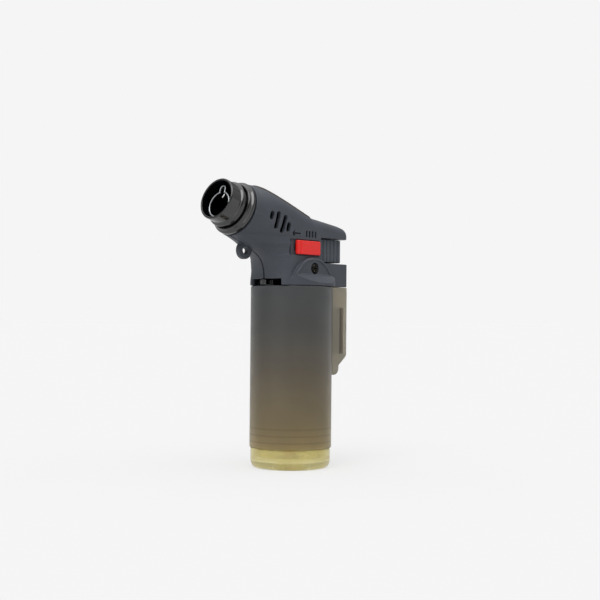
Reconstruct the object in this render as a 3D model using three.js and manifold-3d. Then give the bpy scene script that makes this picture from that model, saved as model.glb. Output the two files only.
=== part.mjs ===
// A hand-held butane torch: a round smoke-coloured tank with a clear foot, and a charcoal pistol
// head in two half shells that carries the burner, the piezo igniter, the trigger and the gas valve.
// Millimetres, +Z up. Inside the group the tank's axis is Z, the burner points towards -X, and the
// half shells meet on the plane y = 0. The group is shifted along X so that the origin is the
// middle of the object's footprint box.
import * as THREE from "three";
import { mergeVertices } from "three/addons/utils/BufferGeometryUtils.js";
import Module from "manifold-3d";

const wasm = await Module();
wasm.setup();

// ---- driving dimensions -------------------------------------------------------------------
const CENTRE_SHIFT = 12.39; // puts the footprint's middle on the origin
const GAP = 0.3; // clearance between neighbouring pieces
const ROUND = 40; // sides of a large round piece
const SMALL_ROUND = 16; // sides of a small round piece

const SLEEVE_R = 18.5;
const SLEEVE_WALL = 1.4;
const SLEEVE_Z = [9.05, 81.45];
const FIN_HALF = 12;
const FIN_REAR = 26.0;
const FIN_WALL = 1.4;
const FIN_RIB = { x: [20.4, 21.9], z: [51, 72] };
const FIN_NUB = { x: 16.6, z: 44.4, r: 3.1 }; // the rounded end of the fin, low on the sleeve
const FIN_STEP_Z = [45.6, 50.6]; // the sloping underside of the fin, front and rear

const BASE_R = 18.0;
const BASE_FLAT_R = 15.9;
const BASE_H = 8.75;
const BASE_WALL = 1.9;
const RECESS_R = 5.6;
const RECESS_DEPTH = 3.0;

const TANK_R = SLEEVE_R - SLEEVE_WALL - GAP;
const TANK_WALL = 1.6;
const TANK_Z = [9.5, 77.4];
const LID_TOP = 79.6;
const VALVE_R = 3.4;
const FILLER_R = 2.9;
const TANK_RINGS = [12, 15, 18]; // heights of the grooves round the tank's foot
const EAR = { x: [-2.6, 3.6], y: [5.4, 8.8], top: 92 }; // the lid's ears take the side screws

const HEAD_HALF = 12; // half the width between the flat sides
const HEAD_WALL = 1.8;
const HEAD_BASE_Z = 81.7;
const NECK_R = 18.3;
const SEAM = 0.15; // half the gap between the half shells
const BLOCK_REAR = 25.8;
const BLOCK_TOP = 92.2;
const ROOF_UNDER = 103.6;
const WINDOW_X = 6.6; // the trigger's window is open behind this

const ARCH_HALF = 15.5;
const ARCH_TOP = 94.5;
const SKIRT_Z = 83.0; // the arch's foot is upright below this
const ARCH_FACE = 14.1;
const ARCH_CREASE_Z = 86.3;
const ARCH_CLIP_R = [SLEEVE_R - 0.1, SLEEVE_R + 1.3]; // the skirt is trimmed to these, front and rear
const SCREW_AT = [0.5, 89.4]; // x and z of the side screws
const SCREW_FROM = 9.2; // distance from the seam at which a screw's thread ends
const PIVOT = [6.0, 87.6]; // x and z of the valve lever's pin
const PIN_R = 0.85;

// Four slanted air slots in a round field on each side of the barrel.
const VENTS = [
  { from: [-25.95, 110.7], to: [-25.5, 112.1] },
  { from: [-22.9, 106.9], to: [-21.5, 112.25] },
  { from: [-19.1, 105.4], to: [-17.2, 110.95] },
  { from: [-15.4, 106.1], to: [-14.9, 107.9] },
];
const VENT_HALF = 1.2;

const STRIP = { x: [-27.5, 1.5], half: 10, proud: 0.35, deep: 0.55, above: 5, below: 4 };

const BAND_TOP = 84.5; // the adjuster's slot under the neck
const BAND_ANGLE = 28.5; // degrees each side of the front
const ADJUSTER_Z = [81.95, 84.1];

const NOZZLE_TILT = THREE.MathUtils.degToRad(17.84);
const RIM = new THREE.Vector3(-48.02, 0, 117.59);
const RIM_R = 9.31;
const BARREL_R = 11.97;
const COLLAR_BACK = 12.45; // depth behind the rim
const BURNER_DROP = 1.8; // the burner sits below the guard's axis
const BURNER_R = 6.0;
const BURNER_WALL = 0.55;
const BURNER_DEPTH = [2.2, 24];
const CHANNEL_R = 1.9; // the electrode's channel along the top of the burner
const CHANNEL_RISE = 7.5;

const TRIGGER_HALF = 10.2;
const TRIGGER_Z = [92.8, 103.2];
const TRIGGER_X = [1.5, 22.8];
const TRIGGER_WALL = 1.6;
const TRIGGER_FOOT = { x: [13.9, 16.2], half: 2, low: 89.3 };
const FOOT_WAY = { x: [8.0, 17], half: 2.6, z: [89, 93] }; // the foot passes through the deck here
const RIB = { pitch: 2.5, width: 0.9, slope: 0.25, depth: 0.5 };

const LOCK_X = [-10.3, 4.9];
const LOCK_Z = [95.4, 101.6];
const LOCK_FACE = 13.25;
const LOCK_RECESS_X = [-13.6, 5.2];
const LOCK_RECESS_Z = [95.0, 102.0];
const LOCK_FLOOR = 11.0;
const LOCK_SLOT = { x: [-10.3, 3.4], z: [96.9, 100.2] };
const TONGUE = { x: [-7, 0], z: [97.3, 99.8] };

const LUG = { x: -29.6, z: 96.5, r: 3.85, hole: 1.6, y: [SEAM, 2.65] };

const PIEZO = { x: [-9, 7], z: [95.5, 102.1], half: 4, axis: 98.8 };

// ---- the head's sections: top point, bottom point, half width, top corner, bottom corner ----
// Each section stands on the line from its top to its bottom point in the plane y = 0. The first
// is the barrel's circle, and the corners sharpen towards the rear.
const HEAD_SECTIONS = [
  { top: [-32.0, 125.0], low: [-39.33, 102.2], half: 11.97, up: 11.9, down: [11.9, 11.9] },
  { top: [-28.0, 124.75], low: [-36.5, 101.4], half: 12, up: 11.2, down: [11.9, 11.4] },
  { top: [-24.6, 124.0], low: [-33.2, 99.7], half: 12, up: 10, down: [11.9, 10.5] },
  { top: [-19.5, 122.0], low: [-29.2, 98.0], half: 12, up: 8.5, down: [11.9, 9.5] },
  { top: [-13.5, 119.4], low: [-25.0, 96.3], half: 12, up: 7, down: [11.9, 8.5] },
  { top: [-8.0, 117.0], low: [-21.6, 94.1], half: 12, up: 6, down: [11.9, 7.5] },
  { top: [-3.5, 115.1], low: [-19.5, 91.4], half: 12, up: 5.5, down: [11.9, 6.5] },
  { top: [0.0, 113.6], low: [-18.35, 87.5], half: 12, up: 5, down: [11.9, 5.5] },
  { top: [2.3, 112.6], low: [-14.0, 85.0], half: 12, up: 5, down: [2, 2] },
  { top: [4.0, 112.25], low: [0.0, 85.0], half: 12, up: 4.6, down: [2, 2] },
  { top: [6.4, 111.9], low: [6.4, 85.0], half: 12, up: 4.4, down: [1, 1] },
  { top: [6.6, 111.9], low: [6.6, ROOF_UNDER], half: 12, up: 4.2, down: [0.4, 0.4] },
  { top: [20.6, 109.8], low: [20.6, ROOF_UNDER], half: 12, up: 3.8, down: [0.4, 0.4] },
  { top: [22.6, 109.2], low: [22.6, ROOF_UNDER], half: 12, up: 3.6, down: [0.4, 0.4] },
  { top: [24.3, 107.9], low: [24.3, ROOF_UNDER], half: 11.6, up: 3, down: [0.4, 0.4] },
  { top: [25.2, 106.1], low: [25.2, ROOF_UNDER], half: 10.7, up: 1.6, down: [0.4, 0.4] },
];
const CORNER_STEPS = 5;

// ---- helpers ------------------------------------------------------------------------------
// A geometry as a manifold solid with its faces out.
function solid(geometry) {
  const plain = geometry.index ? geometry.toNonIndexed() : geometry.clone();
  for (const name of ["normal", "uv"]) plain.deleteAttribute(name);
  const merged = mergeVertices(plain, 1e-4);
  const index = [];
  for (let i = 0; i < merged.index.count; i += 3) {
    const [a, b, c] = [0, 1, 2].map((k) => merged.index.getX(i + k));
    if (a !== b && b !== c && c !== a) index.push(a, b, c);
  }
  const vertProperties = merged.attributes.position.array;
  const make = (list) =>
    new wasm.Manifold(new wasm.Mesh({ numProp: 3, vertProperties, triVerts: new Uint32Array(list) }));
  const made = make(index);
  if (made.volume() >= 0) return made;
  for (let i = 0; i < index.length; i += 3) [index[i + 1], index[i + 2]] = [index[i + 2], index[i + 1]];
  return make(index);
}

function geometryOf(shape) {
  const mesh = shape.getMesh();
  const positions = [];
  for (let i = 0; i < mesh.numVert; i++)
    for (let k = 0; k < 3; k++) positions.push(mesh.vertProperties[i * mesh.numProp + k]);
  const geometry = new THREE.BufferGeometry();
  geometry.setAttribute("position", new THREE.Float32BufferAttribute(positions, 3));
  geometry.setIndex(Array.from(mesh.triVerts));
  geometry.computeVertexNormals();
  return geometry;
}

const join = (...shapes) => shapes.reduce((a, b) => a.add(b));
const cut = (shape, ...tools) => tools.reduce((a, b) => a.subtract(b), shape);

function box(x, y, z) {
  const geometry = new THREE.BoxGeometry(x[1] - x[0], y[1] - y[0], z[1] - z[0]);
  geometry.translate((x[0] + x[1]) / 2, (y[0] + y[1]) / 2, (z[0] + z[1]) / 2);
  return solid(geometry);
}

// A turned piece about the Z axis through (x, y). The profile is a list of [radius, z].
function turned(profile, sides = ROUND, x = 0, y = 0) {
  const points = profile.map(([r, z]) => new THREE.Vector2(r, z));
  const last = profile[profile.length - 1];
  const onAxis = profile[0][0] === 0 && last[0] === 0;
  if (!onAxis) points.push(points[0].clone());
  const geometry = new THREE.LatheGeometry(points, sides);
  geometry.rotateX(Math.PI / 2);
  geometry.translate(x, y, 0);
  return solid(geometry);
}

const rod = (r, z0, z1, sides = SMALL_ROUND, x = 0, y = 0) =>
  turned([[0, z0], [r, z0], [r, z1], [0, z1]], sides, x, y);

// A tube about the Z axis, from the inner to the outer radius.
const pipe = (inner, outer, z0, z1, sides = SMALL_ROUND) =>
  turned([[inner, z0], [outer, z0], [outer, z1], [inner, z1]], sides);

// An outline in X and Z, carried from y0 to y1.
function plate(shape, y0, y1, curveSegments = 10) {
  const options = { depth: y1 - y0, bevelEnabled: false, curveSegments };
  const geometry = new THREE.ExtrudeGeometry(shape, options);
  geometry.rotateX(Math.PI / 2);
  geometry.translate(0, y1, 0);
  return solid(geometry);
}

// An outline in X and Y, carried from z0 to z1.
function prism(shape, z0, z1, curveSegments = 12) {
  const options = { depth: z1 - z0, bevelEnabled: false, curveSegments };
  const geometry = new THREE.ExtrudeGeometry(shape, options);
  geometry.translate(0, 0, z0);
  return solid(geometry);
}

function outline(points) {
  return new THREE.Shape(points.map(([a, b]) => new THREE.Vector2(a, b)));
}

// A round bar or hose along a smooth curve through the points.
function bar(points, radius, sides, steps) {
  const path = new THREE.CatmullRomCurve3(points.map((p) => new THREE.Vector3(...p)));
  const section = new THREE.Shape();
  section.absarc(0, 0, radius, 0, Math.PI * 2, false);
  const options = { extrudePath: path, steps, curveSegments: sides / 2 }; // a full circle takes two each
  return solid(new THREE.ExtrudeGeometry(section, options));
}

// A coil spring about the Z axis, from z0 to z1.
function coil(radius, wire, z0, z1, turns) {
  const steps = turns * 9;
  const points = [];
  for (let i = 0; i <= steps; i++) {
    const angle = (i / steps) * turns * Math.PI * 2;
    const z = z0 + wire + ((z1 - z0 - 2 * wire) * i) / steps;
    points.push([radius * Math.cos(angle), radius * Math.sin(angle), z]);
  }
  return bar(points, wire, 6, steps);
}

// Sits a shape made about the Z axis onto the nozzle: local z is measured out of the rim, local x
// is up across the barrel.
function onNozzle(shape) {
  const out = new THREE.Vector3(-Math.cos(NOZZLE_TILT), 0, Math.sin(NOZZLE_TILT));
  const up = new THREE.Vector3(Math.sin(NOZZLE_TILT), 0, Math.cos(NOZZLE_TILT));
  const matrix = new THREE.Matrix4().makeBasis(up, new THREE.Vector3(0, 1, 0), out);
  matrix.setPosition(RIM);
  return shape.transform(matrix.elements);
}

// Turns a shape made about the Z axis so that its axis lies along X.
function alongX(shape, x, y, z) {
  const matrix = new THREE.Matrix4().makeRotationY(Math.PI / 2);
  matrix.setPosition(x, y, z);
  return shape.transform(matrix.elements);
}

// Turns a shape made about the Z axis so that its axis lies along Y.
function alongY(shape, x, y, z) {
  const matrix = new THREE.Matrix4().makeRotationX(-Math.PI / 2);
  matrix.setPosition(x, y, z);
  return shape.transform(matrix.elements);
}

// ---- the head -----------------------------------------------------------------------------
// One section of the head as a ring of 3-D points, shrunk by the inset.
function sectionRing(section, inset) {
  const top = new THREE.Vector2(...section.top);
  const low = new THREE.Vector2(...section.low);
  const along = top.clone().sub(low).normalize();
  const middle = top.clone().add(low).multiplyScalar(0.5);
  const reach = top.distanceTo(low) / 2 - inset;
  const half = section.half - inset;
  const corners = [
    { y: Math.max(section.up - inset, 0.3), h: Math.max(section.up - inset, 0.3), side: 1 },
    { y: Math.max(section.down[0] - inset, 0.3), h: Math.max(section.down[1] - inset, 0.3), side: -1 },
  ];
  const right = [];
  corners.forEach((corner, k) => {
    for (let i = 0; i <= CORNER_STEPS; i++) {
      const angle = (Math.PI / 2) * (i / CORNER_STEPS);
      const [s, c] = k === 0 ? [Math.sin(angle), Math.cos(angle)] : [Math.cos(angle), Math.sin(angle)];
      const tall = Math.min(corner.h, reach * 0.98);
      right.push([half - corner.y + corner.y * s, corner.side * (reach - tall + tall * c)]);
    }
  });
  const ring = right.concat(right.map(([y, h]) => [-y, h]).reverse());
  return ring.map(([y, h]) => new THREE.Vector3(middle.x + along.x * h, y, middle.y + along.y * h));
}

// A closed skin over a list of rings with the same number of points.
function loft(rings) {
  const positions = [];
  const count = rings[0].length;
  const face = (a, b, c) => positions.push(...a.toArray(), ...b.toArray(), ...c.toArray());
  for (let k = 0; k + 1 < rings.length; k++)
    for (let i = 0; i < count; i++) {
      const j = (i + 1) % count;
      face(rings[k][i], rings[k][j], rings[k + 1][j]);
      face(rings[k][i], rings[k + 1][j], rings[k + 1][i]);
    }
  const cap = (ring, flip) => {
    const middle = ring.reduce((sum, p) => sum.add(p), new THREE.Vector3()).divideScalar(count);
    for (let i = 0; i < count; i++) {
      const j = (i + 1) % count;
      if (flip) face(middle, ring[i], ring[j]);
      else face(middle, ring[j], ring[i]);
    }
  };
  cap(rings[0], false);
  cap(rings[rings.length - 1], true);
  const geometry = new THREE.BufferGeometry();
  geometry.setAttribute("position", new THREE.Float32BufferAttribute(positions, 3));
  return solid(geometry);
}

// The neck and the rear block in plan: a round front, flat sides and a square rear.
function neckPlan(radius, half, rear, corner) {
  const angle = Math.asin(half / radius);
  const shape = new THREE.Shape();
  shape.absarc(0, 0, radius, Math.PI - angle, Math.PI + angle, false);
  shape.lineTo(rear - corner, -half);
  shape.absarc(rear - corner, -half + corner, corner, -Math.PI / 2, 0, false);
  shape.lineTo(rear, half - corner);
  shape.absarc(rear - corner, half - corner, corner, 0, Math.PI / 2, false);
  return shape;
}

// The raised arch over each side screw, with its sloping skirt.
function arch(side) {
  const front = new THREE.Shape();
  front.moveTo(-ARCH_HALF, HEAD_BASE_Z);
  front.lineTo(ARCH_HALF, HEAD_BASE_Z);
  front.bezierCurveTo(ARCH_HALF - 4, HEAD_BASE_Z + 5.8, ARCH_HALF / 2, ARCH_TOP, 0, ARCH_TOP);
  front.bezierCurveTo(-ARCH_HALF / 2, ARCH_TOP, 4 - ARCH_HALF, HEAD_BASE_Z + 5.8, -ARCH_HALF, HEAD_BASE_Z);
  const outer = plate(front, -SLEEVE_R, SLEEVE_R, 7);
  const inner = HEAD_HALF - 0.5;
  const lean = [
    [side * inner, HEAD_BASE_Z],
    [side * SLEEVE_R, HEAD_BASE_Z],
    [side * SLEEVE_R, SKIRT_Z],
    [side * ARCH_FACE, ARCH_CREASE_Z],
    [side * ARCH_FACE, ARCH_TOP - 1.4],
    [side * (HEAD_HALF + 0.6), ARCH_TOP + 0.1],
    [side * inner, ARCH_TOP + 0.1],
  ];
  const section = new THREE.ExtrudeGeometry(outline(lean), { depth: 2 * ARCH_HALF, bevelEnabled: false });
  section.applyMatrix4(new THREE.Matrix4().makeBasis(
    new THREE.Vector3(0, 1, 0), new THREE.Vector3(0, 0, 1), new THREE.Vector3(1, 0, 0)));
  section.translate(-ARCH_HALF, 0, 0);
  const [frontR, rearR] = ARCH_CLIP_R;
  const round = rod(frontR, HEAD_BASE_Z, ARCH_TOP + 1, ROUND);
  const rear = rod(rearR, HEAD_BASE_Z, ARCH_TOP + 1, ROUND).trimByPlane([1, 0, 0], 0);
  return outer.intersect(solid(section)).intersect(round.add(rear));
}

function headOuter() {
  const upper = loft(HEAD_SECTIONS.map((section) => sectionRing(section, 0)));
  const neck = prism(neckPlan(NECK_R, HEAD_HALF, BLOCK_REAR, 2), HEAD_BASE_Z, 88);
  const block = box([-6, BLOCK_REAR], [-HEAD_HALF, HEAD_HALF], [87.9, BLOCK_TOP]);
  const trim = prism(neckPlan(NECK_R, HEAD_HALF, BLOCK_REAR, 2), 80, 130);
  return join(upper, neck, block.intersect(trim), arch(1), arch(-1));
}

function headHollow() {
  const sections = HEAD_SECTIONS.slice(0, 14).map((section) => ({ ...section }));
  const first = sections[0];
  const lead = [-2.2 * Math.cos(NOZZLE_TILT), 2.2 * Math.sin(NOZZLE_TILT)];
  sections.unshift({
    ...first,
    top: [first.top[0] + lead[0], first.top[1] + lead[1]],
    low: [first.low[0] + lead[0], first.low[1] + lead[1]],
  });
  const upper = loft(sections.map((section) => sectionRing(section, HEAD_WALL)));
  const plan = neckPlan(NECK_R - HEAD_WALL, HEAD_HALF - HEAD_WALL, BLOCK_REAR - HEAD_WALL, 1);
  const neck = prism(plan, HEAD_BASE_Z - 1, BLOCK_TOP - HEAD_WALL);
  const path = box([-6, 30], [-TRIGGER_HALF - GAP, TRIGGER_HALF + GAP], [BLOCK_TOP, ROOF_UNDER]);
  const bridge = box([-14, 5.5], [-10.2, 10.2], [86, 93]);
  return join(upper, neck, path, bridge);
}

// The slot that the flame adjuster sweeps through, under the front of the neck.
function bandSlot() {
  const angle = THREE.MathUtils.degToRad(BAND_ANGLE);
  const wedge = new THREE.Shape();
  wedge.moveTo(0, 0);
  wedge.lineTo(-30 * Math.cos(angle), -30 * Math.sin(angle));
  wedge.lineTo(-34, 0);
  wedge.lineTo(-30 * Math.cos(angle), 30 * Math.sin(angle));
  return prism(wedge, HEAD_BASE_Z - 1, BAND_TOP);
}

function vent({ from, to }) {
  const a = new THREE.Vector2(...from);
  const b = new THREE.Vector2(...to);
  const angle = Math.atan2(b.y - a.y, b.x - a.x);
  const shape = new THREE.Shape();
  shape.absarc(a.x, a.y, VENT_HALF, angle + Math.PI / 2, angle + 1.5 * Math.PI, false);
  shape.absarc(b.x, b.y, VENT_HALF, angle - Math.PI / 2, angle + Math.PI / 2, false);
  return plate(shape, -HEAD_HALF - 1, HEAD_HALF + 1, 4);
}

// A counterbored hole through the arch on one side.
function screwHole(side) {
  const [x, z] = SCREW_AT;
  const wide = alongY(rod(2.5, 0, 4), x, side > 0 ? HEAD_HALF : -HEAD_HALF - 4, z);
  const narrow = alongY(rod(1.25, 0, 6), x, side > 0 ? 8 : -14, z);
  return wide.add(narrow);
}

// The lock's recess in the left side, with the tongue's slot through its floor.
function lockCut() {
  const recess = box(LOCK_RECESS_X, [-HEAD_HALF - 2, -LOCK_FLOOR], LOCK_RECESS_Z);
  const slot = box(LOCK_SLOT.x, [-HEAD_HALF - 2, -8], LOCK_SLOT.z);
  return recess.add(slot);
}

// The crown's height at x on its straight slope, which runs between two of the head's sections.
function slopeZ(x) {
  const [[xa, za], [xb, zb]] = [HEAD_SECTIONS[2].top, HEAD_SECTIONS[7].top];
  return za + ((x - xa) * (zb - za)) / (xb - xa);
}

// The block of space over the crown that the inlay lies in.
function stripSpace(grow) {
  const [x0, x1] = [STRIP.x[0] - grow, STRIP.x[1] + grow];
  const points = [[x0, slopeZ(x0) - STRIP.below], [x1, slopeZ(x1) - STRIP.below],
    [x1, slopeZ(x1) + STRIP.above], [x0, slopeZ(x0) + STRIP.above]];
  return plate(outline(points), -STRIP.half - grow, STRIP.half + grow);
}

// The closed front part of the head, ahead of the trigger's window.
function crownLoft(inset) {
  const closed = HEAD_SECTIONS.filter((section) => section.top[0] < WINDOW_X);
  return loft(closed.map((section) => sectionRing(section, inset)));
}

// The curved inlay follows the head's crown and stands a little proud of it.
const makeStrip = () => crownLoft(-STRIP.proud).subtract(crownLoft(STRIP.deep)).intersect(stripSpace(0));
const stripRecess = () => stripSpace(GAP).subtract(crownLoft(STRIP.deep + GAP));

function makeShells() {
  const whole = cut(headOuter(), headHollow(), bandSlot(), screwHole(1), screwHole(-1), lockCut(),
    stripRecess(), box(FOOT_WAY.x, [-FOOT_WAY.half, FOOT_WAY.half], FOOT_WAY.z), ...VENTS.map(vent));
  const left = whole.trimByPlane([0, -1, 0], SEAM);
  const right = whole.trimByPlane([0, 1, 0], SEAM);
  return [left.add(pinBoss(-1)), join(right, pinBoss(1), lanyardLug())];
}

// Holds one end of the lever's pin.
function pinBoss(side) {
  const [x, z] = PIVOT;
  const [inner, bored, outer] = [5.3, 7, HEAD_HALF - HEAD_WALL + 0.3];
  const span = (a, b) => (side > 0 ? [a, b] : [-b, -a]);
  const boss = alongY(rod(1.8, ...span(inner, outer)), x, 0, z);
  return boss.subtract(alongY(rod(PIN_R + GAP, ...span(inner - 1, bored)), x, 0, z));
}

// The lanyard ring stands on the right half shell, beside the seam.
function lanyardLug() {
  const ring = alongY(pipe(LUG.hole, LUG.r, 0, LUG.y[1] - LUG.y[0], 28), LUG.x, LUG.y[0], LUG.z);
  const root = plate(outline([[-31.5, 99.6], [-27.6, 99.9], [-25.4, 98.6], [-25.8, 96.0], [-27.0, 96.6],
    [-28.2, 99.0]]), LUG.y[0], LUG.y[1]);
  return cut(ring.add(root), headHollow(), alongY(rod(LUG.hole, -1, 4, 28), LUG.x, LUG.y[0], LUG.z));
}

// ---- the nozzle and burner ----------------------------------------------------------------
// The dark outer ring, with the web inside it that holds the burner.
function makeGuard() {
  const profile = [
    [8.35, 0], [9.0, 0], [RIM_R, -0.35], [RIM_R, -5.5], [10.1, -5.9], [10.35, -6.7], [9.5, -7.0],
    [9.5, -17.5], [7.9, -17.5], [7.9, -12.2], [8.35, -11.8],
  ];
  const web = pipe(0.01, 8.1, -15.4, -13.2, ROUND);
  const seat = cut(web, burnerSolid(0.3));
  return onNozzle(join(turned(profile), seat));
}

function makeCollar() {
  const profile = [
    [9.8, -8.9], [10.5, -8.9], [10.9, -9.5], [10.9, -10.4], [BARREL_R - 0.1, -10.9],
    [BARREL_R - 0.1, -COLLAR_BACK], [9.8, -COLLAR_BACK],
  ];
  return onNozzle(turned(profile));
}

// The burner's keyhole section, grown by an allowance, filled.
function burnerSolid(grow) {
  const [front, back] = [2 - BURNER_DEPTH[0], -BURNER_DEPTH[1] - 2];
  const round = rod(BURNER_R + grow, back, front, 36, -BURNER_DROP);
  const rise = CHANNEL_RISE - BURNER_DROP;
  const bump = rod(CHANNEL_R + grow, back, front, SMALL_ROUND, rise);
  const neck = box([0, rise], [-CHANNEL_R * 0.8 - grow, CHANNEL_R * 0.8 + grow], [back, front]);
  return join(round, bump, neck);
}

function makeBurner() {
  const keep = box([-20, 20], [-20, 20], [-BURNER_DEPTH[1], -BURNER_DEPTH[0]]);
  return onNozzle(cut(burnerSolid(0), burnerSolid(-BURNER_WALL)).intersect(keep));
}

const onBurner = (shape) => onNozzle(shape.translate([-BURNER_DROP, 0, 0]));

// The disc that spreads the gas: one hole in the middle and six round it.
function makeFlameHolder() {
  const [holes, ring, hole] = [6, 3, 0.8];
  let disc = rod(BURNER_R - BURNER_WALL - GAP, -14, -11, 30).subtract(rod(0.9, -15, -10, 10));
  for (let i = 0; i < holes; i++) {
    const angle = (i / holes) * Math.PI * 2;
    disc = disc.subtract(rod(hole, -15, -10, 8, ring * Math.cos(angle), ring * Math.sin(angle)));
  }
  return onBurner(disc);
}

// A flanged tube behind the disc, in which gas and air mix.
function makeMixer() {
  const profile = [[2.3, -14.3], [4.6, -14.3], [4.6, -15.2], [3.2, -15.9], [3.2, -22.6], [2.3, -22.6]];
  return onBurner(turned(profile, 24));
}

function makeJet() {
  const profile = [[0.35, -23.2], [1.2, -23.2], [2.3, -24.6], [2.3, -28.2], [0.62, -28.2], [0.62, -30.6],
    [0.35, -30.6]];
  return onBurner(turned(profile, SMALL_ROUND));
}

// The electrode runs along the top of the burner's channel and bends down over its mouth.
const electrodeUp = CHANNEL_RISE - BURNER_DROP + 0.1;

const makeInsulator = () => onNozzle(pipe(0.75, 1.05, -21, -6.5).translate([electrodeUp, 0, 0]));

function makeElectrode() {
  const points = [[electrodeUp, 0, -21.4], [electrodeUp, 0, -12], [electrodeUp, 0, -5.6],
    [electrodeUp - 0.9, -0.1, -4.4], [3.7, -0.3, -3.8], [2.9, -0.8, -3.5], [1.6, -0.1, -3.3]];
  return onNozzle(bar(points, 0.4, 6, 16));
}

// ---- gas line, valve and lever ---------------------------------------------------------------
const HOSE_ROUTE = [[0, 0, 90.35], [0, 0, 91.5], [-1.2, 0, 92.9], [-3.4, 0, 93.4], [-8.0, 0, 93.5],
  [-11.8, 0, 95.2], [-13.5, 0, 99.0], [-14.2, 0, 102.4], [-15.4, 0, 104.6], [-17.3, 0, 105.83],
  [-19.44, 0, 106.5], [-21.5, 0, 107.16]];

// The bore's route runs on past both ends of the hose.
function makeHose() {
  const bore = [[0, 0, 89.9], ...HOSE_ROUTE.slice(1, -1), [-23.0, 0, 107.64]];
  return bar(HOSE_ROUTE, 1.4, 10, 26).subtract(bar(bore, 0.92, 8, 26));
}

// The valve's body hangs in the lid, with a flange above the tank's gas space.
function makeValveBody() {
  const profile = [[1.75, 64], [VALVE_R, 64], [VALVE_R, 72.6], [4.6, 72.6], [4.6, 73.4], [VALVE_R, 73.4],
    [VALVE_R, 81.2], [2.9, 81.6], [2.9, 83.4], [1.5, 83.4], [1.5, 80.4], [1.75, 80.4]];
  return turned(profile, 28);
}

// The stem's collar sits over the lever's fork, and the hose is pushed onto its spigot.
function makeValveStem() {
  const profile = [[0, 77.6], [1.45, 77.6], [1.45, 79.6], [1.2, 79.9], [1.2, 88.3], [2.2, 88.3],
    [2.2, 89.1], [0.6, 89.1], [0.6, 90.9], [0, 90.9]];
  return turned(profile, SMALL_ROUND);
}

const makeValveSpring = () => coil(1.2, 0.22, 66.0, 77.3, 5);
const makeDipTube = () => pipe(0.9, 1.45, 17, 65.4);
const makeValveSeal = () => sealRing(VALVE_R + 0.55, 74.1);

// A rubber ring about the Z axis, of six-sided section.
function sealRing(radius, z) {
  const [wire, sides] = [0.42, 6];
  const section = [];
  for (let i = 0; i < sides; i++) {
    const angle = (i / sides) * Math.PI * 2;
    section.push([radius + wire * Math.cos(angle), z + wire * Math.sin(angle)]);
  }
  return turned(section, SMALL_ROUND);
}

// A rocker: its fork lifts the stem's collar when the trigger's foot presses on its tail.
function makeLever() {
  const [x, z] = PIVOT;
  const hub = alongY(rod(1.9, -3, 3), x, 0, z);
  const tail = box([x, 13], [-2, 2], [z - 0.6, z + 0.6]);
  const arms = box([-1.6, x], [-3, 3], [z - 0.6, z + 0.35]);
  const bore = alongY(rod(PIN_R + 0.1, -5, 5), x, 0, z);
  const fork = box([-3, 2.2], [-1.55, 1.55], [z - 3, z + 3]);
  return cut(join(hub, tail, arms), bore, fork);
}

const makeLeverPin = () => alongY(rod(PIN_R, -6.6, 6.6), PIVOT[0], 0, PIVOT[1]);

// A hub round the valve, an arm to the front, a thumb tab and a curved shield behind the slot.
function makeAdjuster() {
  const [z0, z1] = ADJUSTER_Z;
  const armHalf = 1.75;
  const hub = pipe(3.2, 5.0, z0, z1, 28);
  const arm = box([-16, -4.3], [-armHalf, armHalf], [z0, z1]);
  const tab = box([-19.0, -15.4], [-armHalf, armHalf], [z0, z1]);
  const shield = pipe(14.6, 15.8, z0, z1, ROUND).intersect(box([-20, -10.4], [-2.9, 2.9], [z0, z1]));
  return join(hub, arm, tab, shield);
}

// ---- igniter, trigger and lock -----------------------------------------------------------
function makePiezoBody() {
  const body = box(PIEZO.x, [-PIEZO.half, PIEZO.half], PIEZO.z);
  const bore = box([1, 9], [-2.9, 2.9], [96.4, 101.2]);
  const collar = box([4.2, 5.4], [-PIEZO.half - 0.6, PIEZO.half + 0.6], PIEZO.z);
  const contact = alongX(rod(0.9, 0, 1.4, 12), -10.3, 0, PIEZO.axis);
  return cut(join(body, collar, contact), bore);
}

function makePlunger() {
  const bar = box([7.3, 14.2], [-2.6, 2.6], [PIEZO.axis - 2.1, PIEZO.axis + 2.1]);
  const head = box([13.2, 14.2], [-3.2, 3.2], [PIEZO.axis - 2.6, PIEZO.axis + 2.6]);
  return bar.add(head);
}

const makeTriggerSpring = () => alongX(coil(2.0, 0.28, 0, 5.9, 4), 1.25, 0, PIEZO.axis);

// One finger groove at a distance along a face. place turns (along, depth) into [x, y].
function groove(shape, along, step, place) {
  const { width, slope, depth } = RIB;
  for (const [reach, deep] of [[0, 0], [slope, depth], [width - slope, depth], [width, 0]])
    shape.lineTo(...place(along + step * reach, deep));
}

// The trigger in plan, ribbed down both sides and across its rear.
function triggerPlan() {
  const shape = new THREE.Shape();
  const [x0, x1] = TRIGGER_X;
  const half = TRIGGER_HALF;
  const corner = 1.6;
  shape.moveTo(x0, -half);
  for (let x = 9.4; x < x1 - 2.4; x += RIB.pitch) groove(shape, x, 1, (a, deep) => [a, deep - half]);
  shape.absarc(x1 - corner, corner - half, corner, -Math.PI / 2, 0, false);
  for (let y = -7.4; y < 7; y += RIB.pitch) groove(shape, y, 1, (a, deep) => [x1 - deep, a]);
  shape.absarc(x1 - corner, half - corner, corner, 0, Math.PI / 2, false);
  for (let x = x1 - 3.3; x > 9; x -= RIB.pitch) groove(shape, x, -1, (a, deep) => [a, half - deep]);
  shape.lineTo(x0, half);
  return shape;
}

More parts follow.
